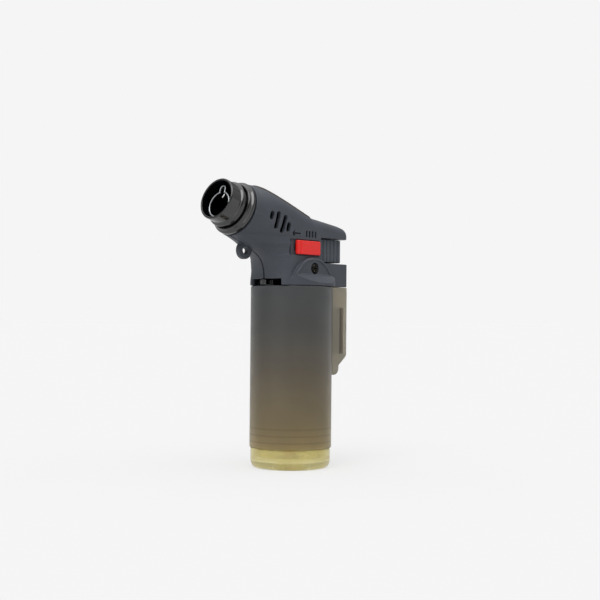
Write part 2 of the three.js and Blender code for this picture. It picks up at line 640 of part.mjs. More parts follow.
// A hollow slide with a pad that meets the plunger and a foot that presses on the lever.
function makeTrigger() {
  const [z0, z1] = TRIGGER_Z;
  const body = prism(triggerPlan(), z0, z1, 4);
  const side = TRIGGER_HALF - TRIGGER_WALL;
  const hollow = box([0, TRIGGER_X[1] - TRIGGER_WALL], [-side, side], [z0 + 1.3, z1 - 1.3]);
  const throat = box([0, 15.6], [-side, side], [z0 - 1, z1 + 1]);
  const pad = box([14.55, TRIGGER_X[1] - 1], [-3.2, 3.2], [z0 + 1, z1 - 1]);
  const foot = box(TRIGGER_FOOT.x, [-TRIGGER_FOOT.half, TRIGGER_FOOT.half], [TRIGGER_FOOT.low, z0 + 2]);
  return join(cut(body, hollow, throat), pad, foot);
}

// The slide's outer edges are bevelled, and its tongue reaches in through the slot.
function makeLock() {
  const body = box(LOCK_X, [-LOCK_FACE, -LOCK_FLOOR - GAP], LOCK_Z);
  const tongue = box(TONGUE.x, [-LOCK_FLOOR - 0.5, -TRIGGER_HALF - GAP - 0.05], TONGUE.z);
  const bevel = (z) => {
    const geometry = new THREE.BoxGeometry(40, 1.2, 1.2);
    geometry.rotateX(Math.PI / 4);
    geometry.translate(0, -LOCK_FACE, z);
    return solid(geometry);
  };
  return cut(join(body, tongue), bevel(LOCK_Z[0] - 0.15), bevel(LOCK_Z[1] + 0.15));
}

// ---- tank, sleeve and base ------------------------------------------------------------------
// The fin's outline from the side. A negative grow gives the hollow inside it, open at the top.
function finSide(grow) {
  const shape = new THREE.Shape();
  const top = SLEEVE_Z[1] + (grow < 0 ? 1 : 0);
  const low = FIN_NUB.z - FIN_NUB.r;
  shape.moveTo(0, top);
  shape.lineTo(0, low + 0.3 - grow);
  shape.lineTo(FIN_NUB.x - 1, low + 0.1 - grow);
  shape.absarc(FIN_NUB.x, FIN_NUB.z, FIN_NUB.r + grow, -Math.PI / 2, 0, false);
  shape.lineTo(FIN_NUB.x + FIN_NUB.r + grow, FIN_STEP_Z[0] - grow / 2);
  shape.lineTo(FIN_REAR + grow, FIN_STEP_Z[1] - grow / 2);
  shape.lineTo(FIN_REAR + grow, top);
  return shape;
}

function makeSleeve() {
  const [z0, z1] = SLEEVE_Z;
  const inner = SLEEVE_R - SLEEVE_WALL;
  const plan = prism(neckPlan(SLEEVE_R, FIN_HALF, FIN_REAR, 2), 0, 100);
  const fin = plate(finSide(0), -FIN_HALF, FIN_HALF, 4).intersect(plan);
  const pocket = plate(finSide(-FIN_WALL), -FIN_HALF + FIN_WALL, FIN_HALF - FIN_WALL, 4);
  const rib = box(FIN_RIB.x, [-FIN_HALF + 1, FIN_HALF - 1], FIN_RIB.z);
  const skin = rod(SLEEVE_R, z0, z1, ROUND);
  const bore = rod(inner, z0 - 1, z1 + 1, ROUND);
  const shelled = cut(join(skin, fin), bore, pocket);
  const wall = pipe(inner - 0.05, SLEEVE_R - 0.05, z0, z1, ROUND); // shuts the pocket off from the bore
  return join(shelled, rib.subtract(bore), wall);
}

// A milky can with grooves round its foot, open at the top for the lid.
function makeTank() {
  const [z0, z1] = TANK_Z;
  const inner = TANK_R - TANK_WALL;
  const bore = FILLER_R + GAP;
  const profile = [[bore, z0], [TANK_R - 1.2, z0], [TANK_R, z0 + 1.2]];
  for (const z of TANK_RINGS) profile.push([TANK_R, z - 0.4], [TANK_R - 0.4, z], [TANK_R, z + 0.4]);
  profile.push([TANK_R, z1], [inner, z1], [inner, z0 + 3.5], [inner - 1.5, z0 + 2], [bore, z0 + 2]);
  return turned(profile);
}

// The lid plugs the tank. Its bore holds the valve, and its two ears take the side screws.
function makeLid() {
  const skirt = TANK_R - TANK_WALL - GAP;
  const bore = VALVE_R + GAP;
  const rim = TANK_Z[1] + GAP;
  const profile = [[bore, 75], [skirt - 1.2, 75], [skirt - 1.2, 72], [skirt, 72], [skirt, rim],
    [TANK_R, rim], [TANK_R, LID_TOP], [bore, LID_TOP]];
  const ear = (side) => {
    const y = side > 0 ? EAR.y : [-EAR.y[1], -EAR.y[0]];
    const post = box(EAR.x, y, [LID_TOP - 0.5, EAR.top]);
    return post.subtract(alongY(rod(0.8, -1, 5, 12), SCREW_AT[0], y[0], SCREW_AT[1]));
  };
  return join(turned(profile), ear(1), ear(-1));
}

// A pan-headed screw with a cross recess, put in from one side.
function makeScrew(side) {
  const [x, z] = SCREW_AT;
  const [arm, slit] = [1.1, 0.25];
  const profile = [[0, 0], [0.95, 0], [0.95, 3.0], [2.1, 3.2], [2.1, 4.2], [1.5, 4.7], [0, 4.7]];
  const thread = rod(0.65, -2.4, 0.1, 12);
  const cross = box([-slit, slit], [-arm, arm], [3.9, 6]).add(box([-arm, arm], [-slit, slit], [3.9, 6]));
  const screw = cut(join(turned(profile, SMALL_ROUND), thread), cross);
  const matrix = new THREE.Matrix4().makeRotationX((-side * Math.PI) / 2);
  matrix.setPosition(x, side * SCREW_FROM, z);
  return screw.transform(matrix.elements);
}

// The clear foot: a rounded cup with a recess under it for the filler.
function makeBase() {
  const bore = FILLER_R + GAP;
  const inner = BASE_R - BASE_WALL;
  const profile = [[bore, RECESS_DEPTH], [RECESS_R, RECESS_DEPTH], [RECESS_R, 0], [BASE_FLAT_R, 0]];
  const steps = 5;
  const round = [BASE_R - BASE_FLAT_R, 3.4];
  for (let i = 1; i <= steps; i++) {
    const angle = (i / steps) * (Math.PI / 2);
    profile.push([BASE_FLAT_R + round[0] * Math.sin(angle), round[1] * (1 - Math.cos(angle))]);
  }
  const floor = RECESS_DEPTH;
  profile.push([BASE_R, BASE_H], [inner, BASE_H], [inner, 5.2], [inner - 1.7, floor],
    [RECESS_R + 1.8, floor], [RECESS_R + 1.8, floor + 1.8], [bore, floor + 1.8]);
  return turned(profile);
}

function makeFillerBody() {
  const profile = [[1.0, 2.2], [2.4, 2.2], [FILLER_R, 2.7], [FILLER_R, 14.4], [2.0, 16.2], [0.9, 16.2],
    [0.9, 14.8], [1.9, 14.2], [1.9, 4.6], [1.0, 4.0]];
  return turned(profile, 24);
}

function makeFillerStem() {
  const profile = [[0, 1.2], [0.7, 1.2], [0.7, 4.9], [1.55, 5.1], [1.55, 6.2], [0, 6.2]];
  return turned(profile, SMALL_ROUND);
}

const makeFillerSpring = () => coil(1.3, 0.2, 6.5, 13.6, 5);
const makeFillerSeal = () => sealRing(FILLER_R + 0.75, 12.1);

// The lead from the igniter's contact to the electrode.
function makeWire() {
  const route = [[-10.9, 0, 98.8], [-11.8, 1.6, 100.6], [-12.0, 3.2, 104.6], [-14.6, 3.4, 109.2],
    [-18.6, 1.4, 113.4], [-21.5, 0.1, 115.0], [-23.4, 0, 115.76], [-25.46, 0, 116.42]];
  return bar(route, 0.6, 8, 20);
}

// ---- the assembly ----------------------------------------------------------------------------
const FINISH = {
  shell: { color: 0x4a4d52, roughness: 0.5, metalness: 0 },
  gloss: { color: 0x17181a, roughness: 0.25, metalness: 0 },
  strip: { color: 0x55504a, roughness: 0.5, metalness: 0 },
  red: { color: 0xdf2f28, roughness: 0.4, metalness: 0 },
  smoke: { color: 0x6a665f, roughness: 0.4, metalness: 0 },
  clear: { color: 0xb9b070, roughness: 0.3, metalness: 0 },
  steel: { color: 0xb8bbbd, roughness: 0.3, metalness: 1 },
  brass: { color: 0xb08d3c, roughness: 0.35, metalness: 1 },
  rubber: { color: 0x1b1b1b, roughness: 0.8, metalness: 0 },
  ceramic: { color: 0xe8e4da, roughness: 0.4, metalness: 0 },
  amber: { color: 0x8a5a2a, roughness: 0.4, metalness: 0 },
};

const torch = new THREE.Group();
const assembly = new THREE.Group();
assembly.position.x = CENTRE_SHIFT;
torch.add(assembly);

function add(name, finish, shape) {
  const mesh = new THREE.Mesh(geometryOf(shape), new THREE.MeshStandardMaterial(FINISH[finish]));
  mesh.name = name;
  assembly.add(mesh);
}

const [leftShell, rightShell] = makeShells();
add("head_shell_left", "shell", leftShell);
add("head_shell_right", "shell", rightShell);
add("top_strip", "strip", makeStrip());
add("nozzle_guard", "gloss", makeGuard());
add("collar_ring", "gloss", makeCollar());
add("burner_tube", "steel", makeBurner());
add("flame_holder", "brass", makeFlameHolder());
add("mixer_tube", "brass", makeMixer());
add("gas_jet", "brass", makeJet());
add("electrode_insulator", "ceramic", makeInsulator());
add("electrode", "steel", makeElectrode());
add("ignition_wire", "rubber", makeWire());
add("gas_hose", "amber", makeHose());
add("valve_body", "brass", makeValveBody());
add("valve_stem", "brass", makeValveStem());
add("valve_spring", "steel", makeValveSpring());
add("valve_seal", "rubber", makeValveSeal());
add("dip_tube", "clear", makeDipTube());
add("valve_lever", "shell", makeLever());
add("lever_pin", "steel", makeLeverPin());
add("flame_adjuster", "gloss", makeAdjuster());
add("piezo_body", "gloss", makePiezoBody());
add("piezo_plunger", "shell", makePlunger());
add("trigger_spring", "steel", makeTriggerSpring());
add("trigger", "shell", makeTrigger());
add("slide_lock", "red", makeLock());
add("sleeve", "smoke", makeSleeve());
add("tank", "clear", makeTank());
add("tank_lid", "clear", makeLid());
add("body_screw_left", "steel", makeScrew(-1));
add("body_screw_right", "steel", makeScrew(1));
add("base_cap", "clear", makeBase());
add("filler_body", "brass", makeFillerBody());
add("filler_stem", "brass", makeFillerStem());
add("filler_spring", "steel", makeFillerSpring());
add("filler_seal", "rubber", makeFillerSeal());

export default torch;
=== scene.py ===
"""Looks of the butane torch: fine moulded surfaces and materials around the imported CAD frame.

Lengths inside this file are millimetres, in the frame whose Z axis is the tank's axis. TANK_X moves
them into the row's frame. The nozzle points towards -X and the half shells meet on the plane y = 0.
"""

import math

import bpy
import numpy as np
import openvdb
from mathutils import Matrix, Vector


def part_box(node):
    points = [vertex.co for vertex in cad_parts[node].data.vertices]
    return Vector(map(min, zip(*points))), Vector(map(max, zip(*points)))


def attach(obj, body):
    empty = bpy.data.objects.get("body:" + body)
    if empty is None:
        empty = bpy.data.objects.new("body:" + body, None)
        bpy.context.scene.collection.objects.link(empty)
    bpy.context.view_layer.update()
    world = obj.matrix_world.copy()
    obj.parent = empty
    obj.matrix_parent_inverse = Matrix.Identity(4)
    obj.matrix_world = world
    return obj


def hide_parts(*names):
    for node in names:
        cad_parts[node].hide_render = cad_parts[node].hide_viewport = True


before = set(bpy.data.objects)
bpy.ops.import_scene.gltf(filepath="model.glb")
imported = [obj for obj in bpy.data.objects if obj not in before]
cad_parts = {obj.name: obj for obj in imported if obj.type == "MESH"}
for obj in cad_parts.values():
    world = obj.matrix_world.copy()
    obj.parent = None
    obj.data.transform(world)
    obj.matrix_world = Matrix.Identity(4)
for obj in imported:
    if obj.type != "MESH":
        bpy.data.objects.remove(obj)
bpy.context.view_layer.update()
MM = 0.001


def span(node, axis):
    """The lowest and highest place of a CAD node along an axis, in millimetres."""
    low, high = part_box(node)
    return low[axis] / MM, high[axis] / MM


TANK_X = sum(span("tank", 0)) / 2  # the tank's axis in the row's frame

# ---- driving dimensions -------------------------------------------------------------------
HALF = 12.0  # half the width between the head's flat sides
WALL = 1.8  # the head's wall
SEAM = 0.27  # half the gap between the half shells
BASE_Z = 81.7  # underside of the head
BLOCK_REAR, ROOF_REAR = 25.8, 25.45  # rear faces below and above the trigger
BLOCK_TOP, ROOF_UNDER, WINDOW_X = 92.2, 103.6, 6.6  # the trigger's window
FOOT_WAY = ((8, 17), (-2.6, 2.6), (89, 93))  # room for the trigger's foot in the block
BAND_TOP, BAND_ANGLE = 84.5, math.radians(28.5)  # the adjuster's slot, open towards the front
BARREL_R = 11.9
TILT = math.radians(17.84)
RIM = (-48.02, 117.59)  # x and z of the middle of the nozzle's rim
FACE_DEPTH = 13.1  # the head's front face behind the rim

# The crown's height along x, and the neck's front edge x along z.
CROWN = [(-60, 134), (-32, 125), (-28, 124.75), (-24.6, 124), (-19.5, 122), (-13.5, 119.4), (-8, 117),
         (-3.5, 115.1), (0, 113.6), (2.3, 112.6), (4, 112.25), (6.5, 111.9), (20.6, 109.8),
         (22.6, 109.2), (40, 105)]
CROWN_CORNER = [(-32, 11.9), (-28, 11.2), (-24.6, 10), (-19.5, 8.5), (-13.5, 7), (-8, 6), (-3.5, 5.5),
                (0, 5), (6.4, 4.4), (20.6, 3.8), (26, 3.4)]
THROAT = [(70, -18.35), (87.5, -18.35), (91.4, -19.5), (94.1, -21.6), (96.3, -25), (98, -29.2),
          (99.7, -33.2), (101.4, -36.5), (102.2, -39.33), (112, -69.8)]
THROAT_CORNER = [(84, 4.5), (87.5, 5.5), (91.4, 6.5), (94.1, 7.5), (96.3, 8.5), (98, 9.5), (99.7, 10.5),
                 (101.4, 11.4), (102.2, 11.9)]

ARCH_HALF, ARCH_TOP = 15.5, 94.5  # the arches over the side screws
ARCH_LEAN = [(80, 18.5), (83, 18.5), (86.3, 14.1), (93.1, 14.1), (94.6, 12.6), (96, 11)]
ARCH_CLIP_R = (18.4, 19.8)  # the skirt's corners are trimmed to these rounds, front and rear
PANEL_LOW, PANEL_EDGE, PANEL_DEEP = 86.7, 1.2, 0.4  # the sunk face inside the arch's bead
SCREW_X, SCREW_Z = 0.5, 89.4
SCREW_HOLE_R, SCREW_CORE_R = 2.5, 1.25
VENTS = [((-25.95, 110.7), (-25.5, 112.1)), ((-22.9, 106.9), (-21.5, 112.25)),
         ((-19.1, 105.4), (-17.2, 110.95)), ((-15.4, 106.1), (-14.9, 107.9))]
VENT_HALF = 1.2  # half the width of a vent
LUG_X, LUG_Z, LUG_R, LUG_HOLE, LUG_FAR = -29.6, 96.5, 3.85, 1.6, 2.65  # the lanyard's ring
LUG_ROOT = ((-28.6, 98.2), (-26.0, 98.4))
PIVOT_X, PIVOT_Z, PIVOT_BOSS_R, PIVOT_HOLE_R = 6.0, 87.6, 1.8, 1.15  # the valve lever's pin
STRIP_X, STRIP_HALF, STRIP_PROUD, STRIP_DEEP, STRIP_SIDE = (-27.5, 1.5), 10.0, 0.35, 0.55, 4.0
STRIP_NARROW = [(-27.5, 5.6), (-22, 7.4), (-14, 8.8), (-6, 9.5), (1.5, 10.0)]  # its half width along x
GAP = 0.3  # between a moving or inlaid piece and the head

LOCK_X, LOCK_Z, LOCK_FACE = (-10.3, 4.9), (95.4, 101.6), 13.25
LOCK_RECESS_X, LOCK_RECESS_Z, LOCK_FLOOR = (-13.6, 5.2), (95.0, 102.0), 11.0
LOCK_SLOT_X, LOCK_SLOT_Z = (-10.3, 3.4), (96.9, 100.2)
TONGUE_X, TONGUE_Y, TONGUE_Z = (-7, 0), (10.55, LOCK_FLOOR + 0.5), (97.3, 99.8)
CREASE_WIDTH, CREASE_DEEP = 0.7, 0.6  # at the front end of the lock's recess
ARROW_X, ARROW_Z, BARB_BACK, BARB_UP, ARROW_HALF = (-12.4, -7.6), 104.6, 1.1, 0.9, 0.26
TICKS_X, TICKS_Z, TICK_HALF = (-3.4, -1.4, 0.6, 2.6), (103.6, 105.6), 0.52
MARK_DEEP = 1.0

TRIGGER_X, TRIGGER_Z, TRIGGER_HALF, TRIGGER_WALL = (1.5, 22.8), (92.8, 103.2), 10.2, 1.6
RIB_PITCH, SIDE_RIB, REAR_RIB, SIDE_RIBS_FROM = 2.5, 0.45, 0.5, 8.6
PAD = ((14.55, 22), (-3.2, 3.2), (93.8, 102.2))  # the wall that pushes the igniter's plunger
FOOT = ((13.9, 16.2), (-2, 2), (89.3, 94.8))  # the foot that pushes the valve's lever

ADJUSTER_Z, ADJUSTER_HUB_R, ADJUSTER_HALF = (81.95, 84.1), (3.2, 5.0), 1.75
ADJUSTER_ARM_X, ADJUSTER_TAB_X = (-16, -4.3), (-19.0, -15.4)
SHIELD_R, SHIELD_HALF, SHIELD_REAR = (14.6, 15.8), 2.9, -10.4

SLEEVE_R, SLEEVE_WALL, FIN_WALL, FIN_REAR = 18.5, 1.4, 1.4, 26.0
SLEEVE_Z = span("sleeve", 2)
FIN_NUB = (16.6, 44.4, 3.1)  # x, z and radius of the round end under the fin
FIN_RIB_X, FIN_RIB_Z = (20.4, 21.9), (51, 72)  # the rib inside the fin
TANK_RINGS = (12, 15, 18)  # heights of the grooves round the tank's foot
TANK_OUTER, TANK_INNER, TANK_Z = 16.8, 15.2, (9.5, 77.4)
FILL_HOLE_R = 3.2  # the filler's hole through the tank's floor and the foot
FOOT_R, FOOT_INNER_R, FOOT_TOP = 18.0, 16.1, 8.75

BURNER_R, BURNER_WALL, BURNER_DROP, CHANNEL_R, CHANNEL_RISE = 6.0, 0.7, 1.8, 1.9, 7.5
BURNER_FROM, BURNER_TO = 2.2, 24.0  # depths of its ends behind the rim


# ---- fields: distances in millimetres, negative inside a piece --------------------------------
def round_max(a, b, radius):
    """Where both a and b are inside, with the edge between them rounded."""
    corner = np.hypot(np.maximum(a + radius, 0), np.maximum(b + radius, 0))
    return np.minimum(np.maximum(a, b), -radius) + corner


def round_min(a, b, radius):
    """a and b joined, with a fillet between them."""
    return -round_max(-a, -b, radius)


def cut(body, tool, radius=0.25):
    """The body without the tool, with the edge between them rounded."""
    return round_max(body, -tool, radius)


def between(value, limits):
    """Distance outside two limits, negative between them."""
    return np.abs(value - sum(limits) / 2) - (limits[1] - limits[0]) / 2


def box(p, x, y, z, radius=0.0):
    """A box between limits along each axis, with its upright and level edges rounded."""
    plan = round_max(between(p[0], x), between(p[1], y), radius)
    return round_max(plan, between(p[2], z), radius)


def segment(a, b, start, end):
    """Distance from (a, b) to the line between two points."""
    ex, ey = end[0] - start[0], end[1] - start[1]
    t = np.clip(((a - start[0]) * ex + (b - start[1]) * ey) / (ex * ex + ey * ey), 0, 1)
    return np.hypot(a - start[0] - ex * t, b - start[1] - ey * t)


def polygon(a, b, points):
    """Distance from (a, b) to a closed outline, negative inside it."""
    inside = np.zeros(np.broadcast(a, b).shape, bool)
    nearest = np.full(inside.shape, 1e9)
    for (px, py), (qx, qy) in zip(points, points[1:] + points[:1]):
        nearest = np.minimum(nearest, segment(a, b, (px, py), (qx, qy)))
        if py != qy:
            crosses = (py > b) != (qy > b)
            inside ^= crosses & (a < (qx - px) * (b - py) / (qy - py) + px)
    return np.where(inside, -nearest, nearest)


def smooth_line(points, reach=1.6, count=60):
    """The line through the points with its bends eased over the reach."""
    xs, ys = np.array(points, float).T
    dense = np.arange(xs[0] - reach, xs[-1] + reach, 0.01)
    total = sum(np.interp(dense + shift, xs, ys) for shift in np.linspace(-reach, reach, count))
    return lambda t: np.interp(t, dense, total / count)


def off_line(line, t, other, side):
    """Distance from a line other = line(t), positive on the given side of it."""
    step = 0.05
    height = line(t)
    slope = (line(t + step) - line(t - step)) / (2 * step)
    return side * (other - height) / np.sqrt(1 + slope * slope)


crown, crown_corner = smooth_line(CROWN), smooth_line(CROWN_CORNER)
throat, throat_corner = smooth_line(THROAT), smooth_line(THROAT_CORNER)
strip_edge = smooth_line(STRIP_NARROW)


def nozzle_depth(x, z):
    """How far a point lies behind the plane of the nozzle's rim."""
    return (x - RIM[0]) * math.cos(TILT) - (z - RIM[1]) * math.sin(TILT)


def head_body(x, y, z, inset=0.0):
    """The head without its arches and openings, shrunk by the inset."""
    side = y - HALF + inset
    rear = np.where(z < (BLOCK_TOP + ROOF_UNDER) / 2, BLOCK_REAR, ROOF_REAR)
    plan = round_max(side, x - rear + inset, max(2.0 - inset, 0.3))
    up = off_line(crown, x, z, 1) + inset
    top = round_max(up, plan, np.maximum(crown_corner(x) - inset, 0.3))
    ahead = off_line(throat, z, x, -1) + inset
    width = BARREL_R - inset
    stretch = width / np.maximum(throat_corner(z) - inset, 0.3)
    front = round_max(ahead * stretch, side, width)
    return np.maximum(top, front)


def arch_height():
    """The arch's outline: its height for a distance from its middle."""
    t = np.linspace(0, 1, 60)
    weights = [(1 - t) ** 3, 3 * t * (1 - t) ** 2, 3 * t * t * (1 - t), t ** 3]
    reach = sum(w * v for w, v in zip(weights, [0, ARCH_HALF / 2, ARCH_HALF - 4, ARCH_HALF]))
    height = sum(w * v for w, v in zip(weights, [ARCH_TOP, ARCH_TOP, BASE_Z + 5.8, BASE_Z]))
    reach, height = np.append(reach, ARCH_HALF + 4), np.append(height, BASE_Z - 5.8)
    return lambda distance: np.interp(distance, reach, height)


arch_line = arch_height()
lean_line = smooth_line(ARCH_LEAN, 0.25)


def arch(x, y, z):
    """The raised arch round a side screw, with a bead round its sunk face."""
    outline = off_line(arch_line, np.abs(x), z, 1)
    face = off_line(lean_line, z, y, 1)
    inside = np.clip((-PANEL_EDGE - outline) / 0.25, 0, 1)
    face = face + PANEL_DEEP * inside * np.clip((z - PANEL_LOW) / 0.25, 0, 1)
    trim = np.hypot(x, y) - np.where(x < 0, *ARCH_CLIP_R)
    return np.maximum(round_max(outline, face, 0.4), trim)


def head_hollow(x, y, z):
    """The space inside the head, with the ways for the trigger and its foot."""
    inner = head_body(x, y, z, WALL)
    roof = box((x, y, z), (WINDOW_X - WALL, 60), (-40, 40), (BLOCK_TOP - WALL, ROOF_UNDER + WALL))
    path = box((x, y, z), (-6, 60), (-TRIGGER_HALF - GAP, TRIGGER_HALF + GAP), (BLOCK_TOP, ROOF_UNDER))
    foot_way = box((x, y, z), *FOOT_WAY)
    return np.minimum(np.minimum(np.maximum(inner, -roof), path), foot_way)


def strip_space(x, y, z, grow):
    """The space over the crown that the inlay lies in."""
    under = -off_line(crown, x, z, 1) - STRIP_SIDE
    ends = between(x, (STRIP_X[0] - grow, STRIP_X[1] + grow))
    sides = off_line(strip_edge, x, y, 1) - grow
    return round_max(round_max(ends, sides, 0.6), under, 0.1)


def shell(x, y, z):
    """What both half shells share. y is measured from the seam outwards."""
    body = round_max(head_body(x, y, z), BASE_Z - z, 0.35)
    body = cut(body, box((x, y, z), (WINDOW_X, 60), (-40, 40), (BLOCK_TOP, ROOF_UNDER)), 0.4)
    arched = round_max(arch(x, y, z), BASE_Z - z, 0.3)
    body = round_min(body, arched, 0.3)
    body = round_max(body, FACE_DEPTH - nozzle_depth(x, z), 0.4)
    body = np.maximum(body, -head_hollow(x, y, z))
    pivot = np.hypot(x - PIVOT_X, z - PIVOT_Z)
    boss = np.maximum(pivot - PIVOT_BOSS_R, between(y, (5.3, HALF - WALL + 0.3)))
    bore = np.maximum(pivot - PIVOT_HOLE_R, y - 7)
    body = np.maximum(np.minimum(body, boss), -bore)
    for start, end in VENTS:
        body = cut(body, np.maximum(segment(x, z, start, end) - VENT_HALF, 4 - y), 0.3)
    hole = np.hypot(x - SCREW_X, z - SCREW_Z)
    body = cut(body, np.maximum(hole - SCREW_HOLE_R, HALF - y), 0.25)
    body = cut(body, np.maximum(hole - SCREW_CORE_R, 8 - y), 0.15)
    wedge = np.maximum(y * math.cos(BAND_ANGLE) + x * math.sin(BAND_ANGLE), z - BAND_TOP)
    body = cut(body, wedge, 0.25)
    recess = np.maximum(strip_space(x, y, z, GAP), -head_body(x, y, z, STRIP_DEEP + GAP))
    return cut(body, recess, 0.2)


def left_shell(x, y, z):
    """The half with the lock's recess, its slot and the marks above it."""
    y = -y
    body = shell(x, y, z)
    recess = np.maximum(between(x, LOCK_RECESS_X), between(z, LOCK_RECESS_Z))
    body = cut(body, np.maximum(recess, LOCK_FLOOR - y), 0.12)
    crease_x = (LOCK_RECESS_X[0], LOCK_RECESS_X[0] + CREASE_WIDTH)
    crease = np.maximum(between(x, crease_x), between(z, LOCK_RECESS_Z))
    body = cut(body, np.maximum(crease, LOCK_FLOOR - CREASE_DEEP - y), 0.05)
    slot = np.maximum(between(x, LOCK_SLOT_X), between(z, LOCK_SLOT_Z))
    body = cut(body, np.maximum(slot, 8 - y), 0.15)
    for tool in lock_marks(x, z):
        body = cut(body, np.maximum(tool, HALF - MARK_DEEP - y), 0.08)
    return round_max(body, SEAM - y, 0.28)


def lock_marks(x, z):
    """An arrow along the lock's travel and four plain ticks above it."""
    tip = (ARROW_X[0], ARROW_Z)
    lines = [segment(x, z, tip, (ARROW_X[1], ARROW_Z))]
    for up in (BARB_UP, -BARB_UP):
        lines.append(segment(x, z, tip, (ARROW_X[0] + BARB_BACK, ARROW_Z + up)))
    arrow = [line - ARROW_HALF for line in lines]
    low, high = TICKS_Z
    ticks = [segment(x, z, (at, low), (at, high)) - TICK_HALF for at in TICKS_X]
    return arrow + ticks


def right_shell(x, y, z):
    """The half with the lanyard's ring."""
    body = shell(x, y, z)
    radius = np.hypot(x - LUG_X, z - LUG_Z)
    root = segment(x, z, *LUG_ROOT) - 1.1
    lug = round_min(radius - LUG_R, root, 0.8)
    lug = round_max(lug, between(y, (SEAM, LUG_FAR)), 0.3)
    body = round_min(body, np.maximum(lug, -head_hollow(x, y, z)), 0.4)
    body = cut(body, radius - LUG_HOLE, 0.3)
    return round_max(body, SEAM - y, 0.28)


def strip(x, y, z):
    """The curved inlay on the head's crown, a little proud of it."""
    y = np.abs(y)
    skin = np.maximum(head_body(x, y, z, -STRIP_PROUD), -head_body(x, y, z, STRIP_DEEP))
    return round_max(skin, strip_space(x, y, z, 0), 0.3)


def ribs(along, depth):
    """Upright grooves at an even pitch, as a depth to take off a face."""
    phase = np.mod(along / RIB_PITCH, 1.0) - 0.5
    return depth * np.exp(-((phase / 0.13) ** 2))


def trigger(x, y, z):
    """The hollow trigger, ribbed upright on its sides and rear."""
    front, rear_face = TRIGGER_X
    side_ribs = ribs(x - 9.85 + RIB_PITCH / 2, SIDE_RIB)
    side_fade = np.clip((22.0 - x) / 1.5, 0, 1)
    grooves = np.where(x > SIDE_RIBS_FROM, side_ribs, 0) * side_fade
    side = np.abs(y) - TRIGGER_HALF + grooves
    rear_fade = np.clip((9.0 - np.abs(y)) / 1.5, 0, 1)
    rear = x - rear_face + ribs(y + 0.2, REAR_RIB) * rear_fade
    body = round_max(np.maximum(side, front - x), rear, 1.5)
    body = round_max(body, between(z, TRIGGER_Z), 0.35)
    inner = TRIGGER_HALF - TRIGGER_WALL
    hollow = box((x, y, z), (0, rear_face - TRIGGER_WALL), (-inner, inner), (94.1, 101.9))
    open_front = box((x, y, z), (0, 15.6), (-inner, inner), (90, 106))
    body = np.maximum(body, -np.minimum(hollow, open_front))
    pad = box((x, y, z), *PAD)
    foot = box((x, y, z), *FOOT, 0.3)
    return np.minimum(np.minimum(body, pad), foot)


def lock(x, y, z):
    """The slider, with a grip groove near its front end."""
    crowned = -y - LOCK_FACE + 0.002 * (x + 2.7) ** 2
    crowned = crowned + 0.35 * np.exp(-((x - LOCK_X[0] - 1.9) / 0.42) ** 2)
    face = round_max(crowned, 11.3 + y, 0.1)
    body = round_max(round_max(between(x, LOCK_X), between(z, LOCK_Z), 0.6), face, 0.5)
    tongue = box((x, -y, z), TONGUE_X, TONGUE_Y, TONGUE_Z)
    return np.minimum(body, tongue)


def adjuster(x, y, z):
    """The flame adjuster: a hub round the valve, an arm, a notched tab and a curved shield."""
    radius = np.hypot(x, y)
    slab = between(z, ADJUSTER_Z)
    width = (-ADJUSTER_HALF, ADJUSTER_HALF)
    hub = round_max(between(radius, ADJUSTER_HUB_R), slab, 0.2)
    arm = box((x, y, z), ADJUSTER_ARM_X, width, ADJUSTER_Z, 0.2)
    tab = box((x, y, z), ADJUSTER_TAB_X, width, ADJUSTER_Z, 0.35)
    tab = cut(tab, segment(x, y, (-19.2, -0.6), (-19.2, 0.6)) - 0.42, 0.1)
    shield = np.maximum(between(radius, SHIELD_R), between(y, (-SHIELD_HALF, SHIELD_HALF)))
    shield = round_max(np.maximum(shield, x - SHIELD_REAR), slab, 0.2)
    return np.minimum(np.minimum(hub, arm), np.minimum(tab, shield))


def fin_outline():
    """The fin's outline in the plane y = 0, from inside the tank's wall."""
    x, z, r = FIN_NUB
    turn = [math.radians(a) for a in np.linspace(-108, 0, 12)]
    nub = [(x + r * math.cos(a), z + r * math.sin(a)) for a in turn]
    return [(0, 90), (0, 41.6)] + nub + [(19.7, 45.6), (FIN_REAR, 50.6), (FIN_REAR, 90)]


def sleeve(x, y, z):
    """The sleeve round the tank, with the hollow fin behind it and the rib inside the fin."""
    y = np.abs(y)
    radius = np.hypot(x, y)
    outline = polygon(x, z, fin_outline())
    plan = round_max(y - HALF, x - FIN_REAR, 2.0)
    fin = round_max(outline, plan, 0.7)
    body = round_min(radius - SLEEVE_R, fin, 0.5)
    inner_plan = round_max(y - HALF + FIN_WALL, x - FIN_REAR + FIN_WALL, 1.0)
    pocket = np.maximum(outline + FIN_WALL, inner_plan)
    pocket = np.maximum(pocket, SLEEVE_R - 0.05 - radius)
    body = np.maximum(body, -pocket)
    rib = np.maximum(between(x, FIN_RIB_X), np.maximum(y - HALF + 1, between(z, FIN_RIB_Z)))
    body = np.minimum(body, rib)
    body = np.maximum(body, SLEEVE_R - SLEEVE_WALL - radius)
    return round_max(body, between(z, SLEEVE_Z), 0.35)


def screw(x, y, z):
    """A side screw about the Z axis, with a pan head and a cross recess."""
    radius = np.hypot(x, y)
    head = round_max(radius - 2.1, between(z, (3.2, 4.7)), 0.7)
    shank = np.maximum(radius - 0.95, between(z, (0, 3.4)))
    tip = np.maximum(radius - 0.6 - 0.07 * np.cos(z * 9), between(z, (-2.4, 0.1)))
    cross = np.minimum(box((x, y, z), (-0.25, 0.25), (-1.2, 1.2), (3.9, 6)),
                       box((x, y, z), (-1.2, 1.2), (-0.25, 0.25), (3.9, 6)))
    return cut(np.minimum(np.minimum(head, shank), tip), cross, 0.08)


